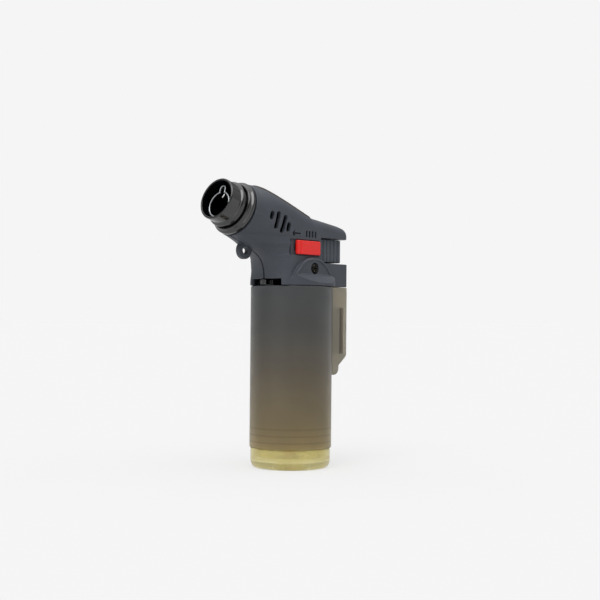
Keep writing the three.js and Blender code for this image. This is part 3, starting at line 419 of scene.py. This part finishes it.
# ---- meshes -----------------------------------------------------------------------------------
def to_row(points):
    """Millimetres about the tank's axis to metres in the row's frame."""
    return (np.asarray(points) + (TANK_X, 0, 0)) * MM


def add_mesh(name, points, faces):
    """A smooth-shaded mesh object in the scene."""
    mesh = bpy.data.meshes.new(name)
    mesh.from_pydata([tuple(p) for p in points], [], [tuple(f) for f in faces])
    mesh.validate()
    piece = bpy.data.objects.new(name, mesh)
    bpy.context.scene.collection.objects.link(piece)
    mesh.shade_smooth()
    return piece


def slope_of(field, points):
    """The field's gradient at each point."""
    step = 0.02
    parts = []
    for axis in range(3):
        shift = np.zeros(3)
        shift[axis] = step
        ahead, behind = points + shift, points - shift
        parts.append((field(*ahead.T) - field(*behind.T)) / (2 * step))
    return np.stack(parts, 1)


def settle(field, points, limit):
    """Moves the points onto the field's surface, and returns them with the surface's normals."""
    start = points.copy()
    for _ in range(4):
        slope = slope_of(field, points)
        size = np.maximum((slope ** 2).sum(1), 0.05)
        points = points - slope * (field(*points.T) / size)[:, None]
        points = start + np.clip(points - start, -limit, limit)
    slope = slope_of(field, points)
    return points, slope / np.maximum(np.linalg.norm(slope, axis=1), 1e-6)[:, None]


def carve(name, field, low, high, step, keep=1.0, place=None):
    """A piece whose surface is where the field is zero. keep is the share of faces that stays."""
    axes = [np.arange(a - 2.5 * step, b + 3 * step, step) for a, b in zip(low, high)]
    x, y, z = axes[0][:, None, None], axes[1][None, :, None], axes[2][None, None, :]
    values = field(x, y, z)
    grid = openvdb.FloatGrid(9.0)
    grid.copyFromArray(np.ascontiguousarray(np.clip(values, -8, 8), dtype=np.float32))
    points, triangles, quads = grid.convertToPolygons(isovalue=0.0, adaptivity=0.0)
    points = np.asarray(points, float) * step + [axis[0] for axis in axes]
    faces = [tuple(f) for f in quads] + [tuple(f) for f in triangles]
    piece = add_mesh(name, points, faces)
    if keep < 1.0:
        thin_out(piece, keep)
    mesh = piece.data
    points = np.empty(len(mesh.vertices) * 3)
    mesh.vertices.foreach_get("co", points)
    points, normals = settle(field, points.reshape(-1, 3), 0.45 * step)
    if place is not None:
        turn = np.array(place.to_3x3())
        points = points @ turn.T + np.array(place.translation)
        normals = normals @ turn.T
    mesh.vertices.foreach_set("co", to_row(points).ravel())
    mesh.update()
    mesh.shade_smooth()
    mesh.normals_split_custom_set_from_vertices(normals)
    return piece


def thin_out(piece, keep):
    """Leaves the piece that share of its faces."""
    modifier = piece.modifiers.new("thin", "DECIMATE")
    modifier.ratio = keep
    shown = piece.evaluated_get(bpy.context.evaluated_depsgraph_get())
    thinned = bpy.data.meshes.new_from_object(shown)
    piece.modifiers.clear()
    piece.data = thinned


def eased(profile, radius, steps=4):
    """A profile with each corner rounded. A corner that touches the axis stays sharp."""
    points = []
    count = len(profile)
    for i, here in enumerate(profile):
        here = np.array(here, float)
        before, after = np.array(profile[i - 1], float), np.array(profile[(i + 1) % count], float)
        back, ahead = before - here, after - here
        reach = min(radius, 0.45 * np.linalg.norm(back), 0.45 * np.linalg.norm(ahead))
        if here[0] < 1e-6:
            points.append(here)
            continue
        start = here + back / np.linalg.norm(back) * reach
        end = here + ahead / np.linalg.norm(ahead) * reach
        for t in np.linspace(0, 1, steps + 1):
            points.append((1 - t) ** 2 * start + 2 * t * (1 - t) * here + t * t * end)
    return points


def turned(name, profile, ease=0.2, sides=96, place=None):
    """A turned piece about the Z axis. The profile is a closed list of radius and height."""
    outline = eased(profile, ease)
    points, rings = [], []
    for radius, height in outline:
        if radius < 1e-6:
            rings.append([len(points)] * sides)
            points.append((0.0, 0.0, height))
            continue
        rings.append(list(range(len(points), len(points) + sides)))
        for k in range(sides):
            angle = 2 * math.pi * k / sides
            points.append((radius * math.cos(angle), radius * math.sin(angle), height))
    return finish_rings(name, points, rings, place)


def finish_rings(name, points, rings, place=None):
    """Joins a closed loop of rings with faces that point out."""
    sides = len(rings[0])
    faces = []
    for a, b in zip(rings, rings[1:] + rings[:1]):
        for k in range(sides):
            n = (k + 1) % sides
            corners = list(dict.fromkeys((a[k], a[n], b[n], b[k])))
            if len(corners) > 2:
                faces.append(corners)
    if place is not None:
        points = [place @ Vector(p) for p in points]
    points = to_row([tuple(p) for p in points])
    if signed_volume(points, faces) < 0:
        faces = [f[::-1] for f in faces]
    piece = add_mesh(name, points, faces)
    soften(piece)
    return piece


def signed_volume(points, faces):
    """Six times the volume, negative where the faces point in."""
    total = 0.0
    for face in faces:
        a = points[face[0]]
        for k in range(1, len(face) - 1):
            total += np.dot(a, np.cross(points[face[k]], points[face[k + 1]]))
    return total


def soften(piece):
    """Smooth shading that keeps flat faces flat."""
    piece.data.set_sharp_from_angle(angle=math.radians(50))
    weighted = piece.modifiers.new("weighted", "WEIGHTED_NORMAL")
    weighted.keep_sharp = True


def rod_along(name, route, radius, sides=16, steps=12):
    """A round bar with domed ends along an eased route."""
    route = [Vector(p) for p in route]
    path = []
    for k in range(len(route) - 1):
        before = route[max(k - 1, 0)]
        after = route[min(k + 2, len(route) - 1)]
        for i in range(steps):
            path.append(catmull(before, route[k], route[k + 1], after, i / steps))
    path.append(route[-1])
    points, rings = [], []
    side = Vector((0, 1, 0)).cross(path[1] - path[0])
    side = side.normalized() if side.length > 1e-6 else Vector((1, 0, 0))
    stations = dome(path[0] - path[1], path[0], radius, False)
    stations += [(p, radius) for p in path[1:-1]]
    stations += dome(path[-1] - path[-2], path[-1], radius, True)
    for k, (centre, size) in enumerate(stations):
        ahead = stations[min(k + 1, len(stations) - 1)][0] - stations[max(k - 1, 0)][0]
        ahead.normalize()
        side = (side - ahead * side.dot(ahead)).normalized()
        other = ahead.cross(side)
        rings.append(list(range(len(points), len(points) + sides)))
        for i in range(sides):
            angle = 2 * math.pi * i / sides
            points.append(centre + side * size * math.cos(angle) + other * size * math.sin(angle))
    faces = []
    for a, b in zip(rings, rings[1:]):
        faces += [(a[i], a[(i + 1) % sides], b[(i + 1) % sides], b[i]) for i in range(sides)]
    faces += [tuple(rings[0][::-1]), tuple(rings[-1])]
    points = to_row([tuple(p) for p in points])
    if signed_volume(points, faces) < 0:
        faces = [f[::-1] for f in faces]
    piece = add_mesh(name, points, faces)
    soften(piece)
    return piece


def catmull(a, b, c, d, t):
    """A point on the smooth curve from b to c, with a before it and d after it."""
    return 0.5 * ((2 * b) + (c - a) * t + (2 * a - 5 * b + 4 * c - d) * t * t
                  + (3 * b - a - 3 * c + d) * t ** 3)


def dome(outwards, tip, radius, closing):
    """Stations of a round end whose outermost point is the tip."""
    outwards = outwards.normalized()
    stations = []
    for t in np.linspace(0.12, 1, 6):
        stations.append((tip - outwards * radius * t, radius * math.sqrt(1 - (1 - t) ** 2)))
    return stations[::-1] if closing else stations


def nozzle_place(up=0.0):
    """The nozzle's own frame: local z comes out of the rim and local x is up across the barrel."""
    out = Vector((-math.cos(TILT), 0, math.sin(TILT)))
    across = Vector((math.sin(TILT), 0, math.cos(TILT)))
    place = Matrix((across, (0, 1, 0), out)).transposed().to_4x4()
    place.translation = Vector((RIM[0], 0, RIM[1])) + across * up
    return place


def keyhole_angles(count=96):
    """Angles round the section, closest together near the channel."""
    turns = [k / count * 2 - 1 for k in range(count)]
    return [math.pi * (0.45 * t + 0.55 * t ** 3) for t in turns]


def keyhole(grow, depth):
    """The burner's section: a circle with the electrode's channel on top."""
    loop = []
    width, radius = CHANNEL_R + grow, BURNER_R + grow
    for angle in keyhole_angles():
        sine = abs(math.sin(angle))
        rise = CHANNEL_RISE
        if math.cos(angle) <= 0:
            reach = 0
        elif sine < width / rise:
            reach = rise * math.cos(angle) + math.sqrt(width ** 2 - (rise * sine) ** 2)
        else:
            reach = width / sine
        ease = 0.5
        blend = math.hypot(max(reach - radius, 0), ease) - ease if reach > radius else 0
        distance = radius + blend
        loop.append((distance * math.cos(angle) - BURNER_DROP, distance * math.sin(angle), depth))
    return loop


def joined(name, loops):
    """A piece in the nozzle's frame, whose skin runs over closed loops and back to the first."""
    points, rings = [], []
    for loop in loops:
        rings.append(list(range(len(points), len(points) + len(loop))))
        points += loop
    return finish_rings(name, points, rings, nozzle_place())


def burner(name):
    """The keyhole-shaped tube, with a round lip."""
    lip = BURNER_WALL / 2
    lip_depth = -BURNER_FROM - lip
    wall = [(0.0, -BURNER_TO), (0.0, lip_depth)]
    for a in np.linspace(20, 160, 6):
        angle = math.radians(a)
        wall.append((lip * (math.cos(angle) - 1), lip_depth + lip * math.sin(angle)))
    wall += [(-BURNER_WALL, lip_depth), (-BURNER_WALL, -BURNER_TO)]
    return joined(name, [keyhole(grow, depth) for grow, depth in wall])


# ---- materials ----------------------------------------------------------------------------------
class Look:
    """A node material that is put together in steps."""

    def __init__(self, name, colour, roughness, **sockets):
        self.material = bpy.data.materials.new(name)
        self.material.use_nodes = True
        self.tree = self.material.node_tree
        self.shader = self.tree.nodes["Principled BSDF"]
        self.colour = (*colour, 1.0)
        self.shader.inputs["Base Color"].default_value = self.colour
        self.shader.inputs["Roughness"].default_value = roughness
        self.roughness = roughness
        for socket, value in sockets.items():
            self.shader.inputs[socket.replace("_", " ")].default_value = value
        self.place = self.node("ShaderNodeTexCoord").outputs["Object"]

    def node(self, kind, **values):
        made = self.tree.nodes.new(kind)
        for key, value in values.items():
            setattr(made, key, value)
        return made

    def link(self, source, target):
        self.tree.links.new(source, target)

    def noise(self, size_mm, detail=3.0, stretch=(1, 1, 1)):
        """A noise whose features are about size_mm across."""
        spread = self.node("ShaderNodeMapping")
        spread.inputs["Scale"].default_value = [s / (size_mm * MM) for s in stretch]
        self.link(self.place, spread.inputs["Vector"])
        made = self.node("ShaderNodeTexNoise")
        made.inputs["Scale"].default_value = 1.0
        made.inputs["Detail"].default_value = detail
        self.link(spread.outputs["Vector"], made.inputs["Vector"])
        return made.outputs["Fac"]

    def remap(self, source, low, high, to_low, to_high):
        """Takes values from low to high over to the range from to_low to to_high, clamped."""
        made = self.node("ShaderNodeMapRange")
        limits = {"From Min": low, "From Max": high, "To Min": to_low, "To Max": to_high}
        for socket, value in limits.items():
            made.inputs[socket].default_value = value
        self.link(source, made.inputs["Value"])
        return made.outputs["Result"]

    def mix(self, factor, first, second):
        """Mixes two colours, each a value or an output, by a factor output."""
        made = self.node("ShaderNodeMix", data_type="RGBA")
        self.link(factor, made.inputs[0])
        for socket, value in ((made.inputs[6], first), (made.inputs[7], second)):
            if isinstance(value, tuple):
                socket.default_value = (*value[:3], 1.0)
            else:
                self.link(value, socket)
        return made.outputs[2]

    def paint(self, output):
        """Makes the output the surface's colour."""
        self.link(output, self.shader.inputs["Base Color"])
        self.colour = output
        return self

    def mottle(self, size_mm, amount):
        """Slow changes of tone across the surface."""
        factor = self.remap(self.noise(size_mm), 0.3, 0.7, 0, 1)
        if isinstance(self.colour, tuple):
            dark = tuple(c * (1 - amount) for c in self.colour[:3])
            light = tuple(min(c * (1 + amount), 1) for c in self.colour[:3])
            return self.paint(self.mix(factor, dark, light))
        scale = self.node("ShaderNodeHueSaturation")
        self.link(self.colour, scale.inputs["Color"])
        self.link(self.remap(factor, 0, 1, 1 - amount, 1 + amount), scale.inputs["Value"])
        return self.paint(scale.outputs["Color"])

    def polish(self, size_mm, spread):
        """Uneven gloss."""
        low, high = self.roughness - spread, self.roughness + spread
        factor = self.remap(self.noise(size_mm, 4), 0.3, 0.7, low, high)
        self.link(factor, self.shader.inputs["Roughness"])
        return self

    def grain(self, size_mm, depth_mm, stretch=(1, 1, 1)):
        """A fine raised texture."""
        bump = self.node("ShaderNodeBump")
        bump.inputs["Strength"].default_value = 1.0
        bump.inputs["Distance"].default_value = depth_mm * MM
        self.link(self.noise(size_mm, 2, stretch), bump.inputs["Height"])
        self.link(bump.outputs["Normal"], self.shader.inputs["Normal"])
        return self

    def edge_glints_and_wear(self, lighter, low=0.52, high=0.62):
        """Edges lighter than the rest: a painted highlight for glints on the edges, partly rubbed wear.
        """
        edge = self.node("ShaderNodeNewGeometry").outputs["Pointiness"]
        factor = self.remap(edge, low, high, 0, 0.6)
        return self.paint(self.mix(factor, self.colour, lighter))

    def along(self, direction, start=(0, 0, 0)):
        """The distance in millimetres from a start point along a direction."""
        shift = self.node("ShaderNodeVectorMath", operation="SUBTRACT")
        self.link(self.place, shift.inputs[0])
        shift.inputs[1].default_value = to_row(start)
        dot = self.node("ShaderNodeVectorMath", operation="DOT_PRODUCT")
        self.link(shift.outputs["Vector"], dot.inputs[0])
        dot.inputs[1].default_value = [d / MM for d in direction]
        return dot.outputs["Value"]

    def turn_to(self, colour, distance, low, high):
        """Changes to another colour between two distances along a direction."""
        return self.paint(self.mix(self.remap(distance, low, high, 0, 1), self.colour, colour))

    def within(self, x, z, ease):
        """1 inside limits along X and Z, in millimetres about the tank's axis, and 0 outside."""
        factors = []
        for direction, (low, high) in (((1, 0, 0), x), ((0, 0, 1), z)):
            place = self.along(direction)
            factors.append(self.remap(place, low - ease, low + ease, 0, 1))
            factors.append(self.remap(place, high - ease, high + ease, 1, 0))
        product = factors[0]
        for factor in factors[1:]:
            step = self.node("ShaderNodeMath", operation="MULTIPLY")
            self.link(product, step.inputs[0])
            self.link(factor, step.inputs[1])
            product = step.outputs["Value"]
        return product

    def paint_fin_light_and_rib_shade(self):
        """Painted light and shade: the hollow fin is painted lighter, for the light it lets through, and
        the rib inside it painted darker, as painted shade.
        """
        fin = self.within((14.8, 60), (40, 90), 0.4)
        self.paint(self.mix(fin, self.colour, srgb(190, 184, 167)))
        rib = self.within((FIN_RIB_X[0] - 0.7, FIN_RIB_X[1] + 0.5), FIN_RIB_Z, 0.3)
        return self.paint(self.mix(rib, self.colour, srgb(128, 119, 106)))

    def shade_grooves(self, heights, share):
        """Faint darker lines where the tank's grooves lie behind the surface."""
        for height in heights:
            line = self.within((-60, 60), (height - 0.3, height + 0.3), 0.25)
            dark = tuple(level * 0.3 for level in srgb(190, 170, 130))
            self.paint(self.mix(self.remap(line, 0, 1, 0, share), self.colour, dark))
        return self

    def paint_shade_inside(self, low, high, level):
        """Painted shade: darkens what lies deep behind the nozzle's rim, where shade falls inside the
        nozzle.
        """
        inwards = (math.cos(TILT), 0, -math.sin(TILT))
        depth = self.along(inwards, (RIM[0], 0, RIM[1]))
        return self.turn_to((level,) * 3, depth, low, high)

    def bands(self, stops):
        """Colours at heights above the foot, blended between them."""
        ramp = self.node("ShaderNodeValToRGB")
        top = stops[-1][0]
        while len(ramp.color_ramp.elements) < len(stops):
            ramp.color_ramp.elements.new(0.5)
        for element, (height, colour) in zip(ramp.color_ramp.elements, stops):
            element.position = height / top
            element.color = (*colour, 1.0)
        factor = self.remap(self.along((0, 0, 1)), 0, top, 0, 1)
        self.link(factor, ramp.inputs["Fac"])
        return self.paint(ramp.outputs["Color"])


def srgb(*levels):
    """A colour given in display levels of 0 to 255, as linear light."""
    return tuple(((v / 255 + 0.055) / 1.055) ** 2.4 if v > 10 else v / 255 / 12.92 for v in levels)


looks = {
    "shell": Look("charcoal_plastic", srgb(62, 66, 73), 0.5, Specular_IOR_Level=0.3)
    .mottle(14, 0.08).polish(5, 0.06).grain(0.22, 0.012),
    "trigger": Look("charcoal_trigger", srgb(66, 71, 78), 0.46, Specular_IOR_Level=0.3)
    .mottle(9, 0.07).polish(4, 0.06).grain(0.22, 0.012),
    "strip": Look("brown_inlay", srgb(64, 54, 47), 0.4)
    .mottle(8, 0.1).polish(4, 0.06).grain(0.3, 0.01),
    "nozzle": Look("black_gloss", srgb(8, 9, 12), 0.12, IOR=1.7)
    .mottle(6, 0.15).polish(3, 0.03).grain(0.5, 0.002),
    "lock": Look("red_plastic", srgb(216, 34, 30), 0.38, Specular_IOR_Level=0.35)
    .mottle(4, 0.05).polish(3, 0.05).grain(0.25, 0.01),
    "smoke": Look("smoked_plastic", srgb(130, 130, 130), 0.37, Transmission_Weight=0.76, IOR=1.3,
                  Specular_IOR_Level=0.6)
    .bands([(0, srgb(206, 190, 142)), (20, srgb(174, 162, 131)), (45, srgb(146, 139, 126)),
            (62, srgb(126, 126, 124)), (81, srgb(122, 125, 127))])
    # painted light on the fin and painted shade at its rib, then painted shade along the tank's grooves
    .paint_fin_light_and_rib_shade().shade_grooves(TANK_RINGS, 0.35).mottle(16, 0.06).polish(9, 0.04),
    "clear": Look("clear_yellow", srgb(232, 222, 158), 0.2, Transmission_Weight=0.7, IOR=1.4)
    .mottle(7, 0.06).polish(9, 0.04),
    "tank": Look("milky_tank", srgb(196, 178, 120), 0.35, Transmission_Weight=0.2, IOR=1.4)
    .bands([(0, srgb(236, 216, 140)), (16, srgb(232, 204, 122)), (30, srgb(206, 174, 104)),
            (52, srgb(164, 140, 106)), (66, srgb(96, 92, 86)), (80, srgb(64, 66, 67))])
    .mottle(12, 0.1).polish(9, 0.04),
    "steel": Look("drawn_steel", srgb(206, 208, 208), 0.28, Metallic=1.0)
    .mottle(2, 0.08).polish(1.5, 0.08).grain(0.08, 0.006, (1, 1, 0.1)),
    "burner": Look("steel_with_painted_inner_shade", srgb(164, 167, 170), 0.36, Metallic=1.0)
    # painted shade: the burner turns near black from 2.7 to 3.1 mm behind the rim
    .paint_shade_inside(2.7, 3.1, 0.004).mottle(3, 0.14).polish(1.5, 0.08).grain(0.12, 0.008),
    # painted shade: the screw is near black so that it reads as the shade in its hole
    "screw": Look("screw_dark_as_hole_shade", srgb(34, 33, 31), 0.28, Metallic=1.0)
    # painted highlight: pale cream glints on the screw's edges, partly rubbed wear
    .mottle(1, 0.2).edge_glints_and_wear(srgb(200, 190, 160), 0.55, 0.7).polish(0.8, 0.08).grain(0.15, 0.01),
    "brass": Look("turned_brass", srgb(196, 158, 84), 0.3, Metallic=1.0)
    .mottle(3, 0.1).polish(1.5, 0.08).grain(0.1, 0.006, (0.1, 0.1, 1)),
    # painted shade: near black, so the flame holder inside the nozzle and the valve body inside the head
    # read dark
    "black_for_painted_shade": Look("brass_black_as_painted_shade", srgb(14, 12, 11), 0.8, Specular_IOR_Level=0.1)
    .mottle(2, 0.25).polish(1.5, 0.08).grain(0.15, 0.01),
    "ceramic": Look("white_ceramic", srgb(226, 222, 210), 0.3, Subsurface_Weight=0.1,
                    Subsurface_Radius=(0.001, 0.001, 0.001))
    .mottle(2, 0.05).polish(2, 0.06).grain(0.2, 0.004),
    "rubber": Look("black_rubber", srgb(34, 34, 35), 0.72)
    .mottle(2, 0.12).polish(1, 0.08).grain(0.1, 0.01),
    "hose": Look("amber_hose", srgb(150, 106, 58), 0.35, Transmission_Weight=0.3, IOR=1.45)
    .mottle(3, 0.1).polish(2, 0.06).grain(0.3, 0.006),
    "mechanism": Look("dark_nylon", srgb(34, 35, 38), 0.5)
    .mottle(5, 0.1).polish(3, 0.07).grain(0.2, 0.01),
}


# ---- the pieces -----------------------------------------------------------------------------------
def dress(piece, node, body, look):
    """Puts a piece in the place of a CAD node."""
    piece.data.materials.clear()
    piece.data.materials.append(looks[look].material)
    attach(piece, body)
    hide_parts(node)
    return piece


HEAD_LOW, HEAD_HIGH = (-40.2, 0, BASE_Z), (26.0, 18.6, 125.4)


def make_head():
    """Both half shells, and the inlay on their crown."""
    for name, field, low, high in (
        ("left", left_shell, (HEAD_LOW[0], -HEAD_HIGH[1], HEAD_LOW[2]), (HEAD_HIGH[0], 0, HEAD_HIGH[2])),
        ("right", right_shell, HEAD_LOW, HEAD_HIGH),
    ):
        piece = carve("head_half_" + name, field, low, high, 0.3, 0.6)
        dress(piece, "head_shell_" + name, "torch", "shell")
    low, high = (STRIP_X[0], -STRIP_HALF, 108), (STRIP_X[1], STRIP_HALF, 125.6)
    dress(carve("crown_strip", strip, low, high, 0.25, 0.5), "top_strip", "torch", "strip")


def make_nozzle():
    """The guard with its inner web, the collar, the burner tube and the spark pin."""
    place = nozzle_place()
    guard_profile = [(8.35, 0), (9.0, 0), (9.31, -0.35), (9.31, -5.5), (10.1, -5.9), (10.35, -6.7),
                     (9.5, -7.0), (9.5, -17.5), (7.9, -17.5), (7.9, -12.2), (8.35, -11.8)]
    piece = turned("nozzle_guard_ring", guard_profile, 0.3, 128, place)
    dress(piece, "nozzle_guard", "torch", "nozzle")
    seat = web("nozzle_seat")
    seat.data.materials.append(looks["nozzle"].material)
    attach(seat, "torch")
    collar_profile = [(9.8, -9.1), (10.5, -9.1), (10.9, -9.6), (10.9, -10.4), (11.87, -10.9),
                      (11.87, -12.1), (9.8, -12.1)]
    piece = turned("barrel_collar", collar_profile, 0.22, 128, place)
    dress(piece, "collar_ring", "torch", "nozzle")
    dress(burner("burner_keyhole_tube"), "burner_tube", "torch", "burner")
    rise = CHANNEL_RISE - BURNER_DROP + 0.1
    profile = [(0.75, -6.5), (1.05, -6.5), (1.05, -21), (0.75, -21)]
    piece = turned("insulator_tube", profile, 0.12, 32, nozzle_place(rise))
    dress(piece, "electrode_insulator", "torch", "ceramic")
    route = [(rise, 0, -21.4), (rise, 0, -12), (rise, 0, -5.6), (rise - 0.9, -0.1, -4.4),
             (3.7, -0.3, -3.8), (2.9, -0.8, -3.5), (1.6, -0.1, -3.3)]
    piece = rod_along("electrode_pin", [place @ Vector(p) for p in route], 0.4, 14, 6)
    dress(piece, "electrode", "torch", "steel")


def web(name):
    """The wall inside the guard that holds the burner, open to its keyhole."""
    front, back, outer_r = -13.2, -15.4, 8.0
    outer = [(outer_r * math.cos(a), outer_r * math.sin(a), back) for a in keyhole_angles()]
    inner = keyhole(GAP, back)
    loops = []
    for loop, depth in ((outer, front), (outer, back), (inner, back), (inner, front)):
        loops.append([(across, side, depth) for across, side, _ in loop])
    return joined(name, loops)


def make_controls():
    """The trigger, the red slide and the flame adjuster."""
    low = (TRIGGER_X[0], -TRIGGER_HALF, FOOT[2][0])
    high = (TRIGGER_X[1], TRIGGER_HALF, TRIGGER_Z[1])
    piece = carve("ribbed_trigger", trigger, low, high, 0.22, 0.5)
    dress(piece, "trigger", "trigger", "trigger")
    low, high = (LOCK_X[0], -LOCK_FACE, LOCK_Z[0]), (LOCK_X[1], -10.5, LOCK_Z[1])
    dress(carve("red_slide", lock, low, high, 0.18, 0.7), "slide_lock", "lock", "lock")
    low, high = (-19, -5, ADJUSTER_Z[0]), (5, 5, ADJUSTER_Z[1])
    piece = carve("adjuster_lever", adjuster, low, high, 0.2, 0.6)
    dress(piece, "flame_adjuster", "adjuster", "nozzle")


def make_screws():
    """A side screw in each arch."""
    low, high = (-2.1, -2.1, -2.4), (2.1, 2.1, 4.7)
    for name, side in (("left", -1), ("right", 1)):
        place = Matrix.Translation((SCREW_X, side * 9.2, SCREW_Z))
        place = place @ Matrix.Rotation(-side * math.pi / 2, 4, "X")
        piece = carve("cross_screw_" + name, screw, low, high, 0.12, 0.6, place)
        dress(piece, "body_screw_" + name, "torch", "screw")


def make_tank():
    """The smoked sleeve, the tank inside it and the clear foot under both."""
    low, high = (-SLEEVE_R, -SLEEVE_R, SLEEVE_Z[0]), (FIN_REAR, SLEEVE_R, SLEEVE_Z[1])
    piece = carve("smoked_sleeve", sleeve, low, high, 0.5, 0.5)
    dress(piece, "sleeve", "torch", "smoke")
    outer, inner, hole = TANK_OUTER, TANK_INNER, FILL_HOLE_R
    bottom, top = TANK_Z
    profile = [(hole, bottom), (15.6, bottom), (outer, 10.7)]
    for z in TANK_RINGS:
        profile += [(outer, z - 0.4), (outer - 0.4, z), (outer, z + 0.4)]
    profile += [(outer, top), (inner, top), (inner, 13.0), (inner - 1.5, 11.5), (hole, 11.5)]
    dress(turned("fuel_tank", profile, 0.3), "tank", "torch", "tank")
    flat_r, corner_across, corner_up = 15.9, 2.1, 3.4
    profile = [(hole, 3.0), (5.6, 3.0), (5.6, 0), (flat_r, 0)]
    for a in np.linspace(0.15, math.pi / 2, 9):
        profile.append((flat_r + corner_across * math.sin(a), corner_up * (1 - math.cos(a))))
    profile += [(FOOT_R, FOOT_TOP), (FOOT_INNER_R, FOOT_TOP), (FOOT_INNER_R, 5.2), (14.4, 3.0)]
    profile += [(7.4, 3.0), (7.4, 4.8), (hole, 4.8)]
    dress(turned("clear_foot", profile, 0.25), "base_cap", "torch", "clear")


NODE_LOOKS = {
    # the flame holder and the valve body take the near-black painted shade
    "flame_holder": "black_for_painted_shade", "mixer_tube": "brass", "gas_jet": "brass", "ignition_wire": "rubber",
    "gas_hose": "hose", "valve_body": "black_for_painted_shade", "valve_stem": "brass", "valve_spring": "steel",
    "valve_seal": "rubber", "dip_tube": "hose", "valve_lever": "mechanism", "lever_pin": "steel",
    "piezo_body": "mechanism", "piezo_plunger": "mechanism", "trigger_spring": "steel",
    "tank_lid": "mechanism", "filler_body": "brass", "filler_stem": "brass", "filler_spring": "steel",
    "filler_seal": "rubber",
}


def dress_nodes():
    """The CAD pieces that stay get their materials."""
    for name, look in NODE_LOOKS.items():
        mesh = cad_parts[name].data
        mesh.materials.clear()
        mesh.materials.append(looks[look].material)


# ---- camera, floor and light -------------------------------------------------------------------
CAMERA_TURN, CAMERA_RISE, CAMERA_ROLL = (math.radians(a) for a in (-48.008, -1.092, 0.504))
CAMERA_AT = (-383.96, -350.81, 65.51)
LENS, SENSOR = 68.69, 36.0
BACKDROP = 0.913  # linear level of the background
FLOOR_GLOW = 0.616  # makes the floor as pale as the backdrop and its shadow faint


def add_camera():
    """The camera at the picture's viewing angle, from its turn, rise and roll."""
    back = Vector((math.sin(CAMERA_TURN) * math.cos(CAMERA_RISE),
                   -math.cos(CAMERA_TURN) * math.cos(CAMERA_RISE), math.sin(CAMERA_RISE)))
    right = Vector((math.cos(CAMERA_TURN), math.sin(CAMERA_TURN), 0))
    up = back.cross(right)
    c, s = math.cos(CAMERA_ROLL), math.sin(CAMERA_ROLL)
    across, above = right * c + up * s, up * c - right * s
    data = bpy.data.cameras.new("camera")
    data.lens, data.sensor_width = LENS, SENSOR
    data.clip_start, data.clip_end = 0.01, 100
    camera = bpy.data.objects.new("camera", data)
    camera.matrix_world = Matrix((across, above, back)).transposed().to_4x4()
    camera.location = Vector(to_row(CAMERA_AT))
    bpy.context.scene.collection.objects.link(camera)
    bpy.context.scene.camera = camera


def add_floor():
    """A wide pale floor."""
    size = 40.0
    floor = add_mesh("floor", [(-size, -size, 0), (size, -size, 0), (size, size, 0), (-size, size, 0)],
                     [(0, 1, 2, 3)])
    paper = Look("pale_paper", (0.2, 0.2, 0.2), 0.9, Specular_IOR_Level=0.0)
    paper.shader.inputs["Emission Color"].default_value = (1.0, 1.0, 1.0, 1.0)
    paper.shader.inputs["Emission Strength"].default_value = FLOOR_GLOW
    floor.data.materials.append(paper.material)


def add_sun(name, strength, turn, rise, angle):
    """A soft light from a direction: turn is measured as the camera's is."""
    data = bpy.data.lights.new(name, "SUN")
    data.energy, data.angle = strength, math.radians(angle)
    sun = bpy.data.objects.new(name, data)
    a, e = math.radians(turn), math.radians(rise)
    towards = Vector((math.sin(a) * math.cos(e), -math.cos(a) * math.cos(e), math.sin(e)))
    sun.rotation_euler = towards.to_track_quat("Z", "Y").to_euler()
    bpy.context.scene.collection.objects.link(sun)


# The surround's level by the sine of the height above the horizon.
SURROUND = [(-1.0, 0.9), (0.0, 0.75), (0.14, 0.24), (0.5, 0.2), (0.66, 1.1), (1.0, 1.9)]


def add_light():
    """An even backdrop, a studio surround that lights the object, and broad lamps."""
    world = bpy.data.worlds.new("studio")
    world.use_nodes = True
    tree = world.node_tree
    surround = tree.nodes["Background"]
    place = tree.nodes.new("ShaderNodeTexCoord")
    split = tree.nodes.new("ShaderNodeSeparateXYZ")
    tree.links.new(place.outputs["Generated"], split.inputs["Vector"])
    spread = tree.nodes.new("ShaderNodeMapRange")
    spread.inputs["From Min"].default_value = -1.0
    tree.links.new(split.outputs["Z"], spread.inputs["Value"])
    ramp = tree.nodes.new("ShaderNodeValToRGB")
    while len(ramp.color_ramp.elements) < len(SURROUND):
        ramp.color_ramp.elements.new(0.5)
    brightest = max(level for _, level in SURROUND)
    for element, (height, level) in zip(ramp.color_ramp.elements, SURROUND):
        element.position = (height + 1) / 2
        element.color = (level / brightest,) * 3 + (1.0,)
    tree.links.new(spread.outputs["Result"], ramp.inputs["Fac"])
    tree.links.new(ramp.outputs["Color"], surround.inputs["Color"])
    surround.inputs["Strength"].default_value = brightest
    backdrop = tree.nodes.new("ShaderNodeBackground")
    backdrop.inputs["Color"].default_value = (BACKDROP,) * 3 + (1.0,)
    seen = tree.nodes.new("ShaderNodeLightPath")
    mix = tree.nodes.new("ShaderNodeMixShader")
    tree.links.new(seen.outputs["Is Camera Ray"], mix.inputs["Fac"])
    tree.links.new(surround.outputs["Background"], mix.inputs[1])
    tree.links.new(backdrop.outputs["Background"], mix.inputs[2])
    tree.links.new(mix.outputs["Shader"], tree.nodes["World Output"].inputs["Surface"])
    bpy.context.scene.world = world
    add_sun("top", 1.3, -62, 58, 40)
    add_sun("front", 0.55, -85, 18, 50)
    add_sun("side", 0.3, 40, 30, 60)
    bpy.context.scene.view_settings.view_transform = "Standard"


add_camera()
add_floor()
add_light()
make_head()
make_nozzle()
make_controls()
make_screws()
make_tank()
dress_nodes()
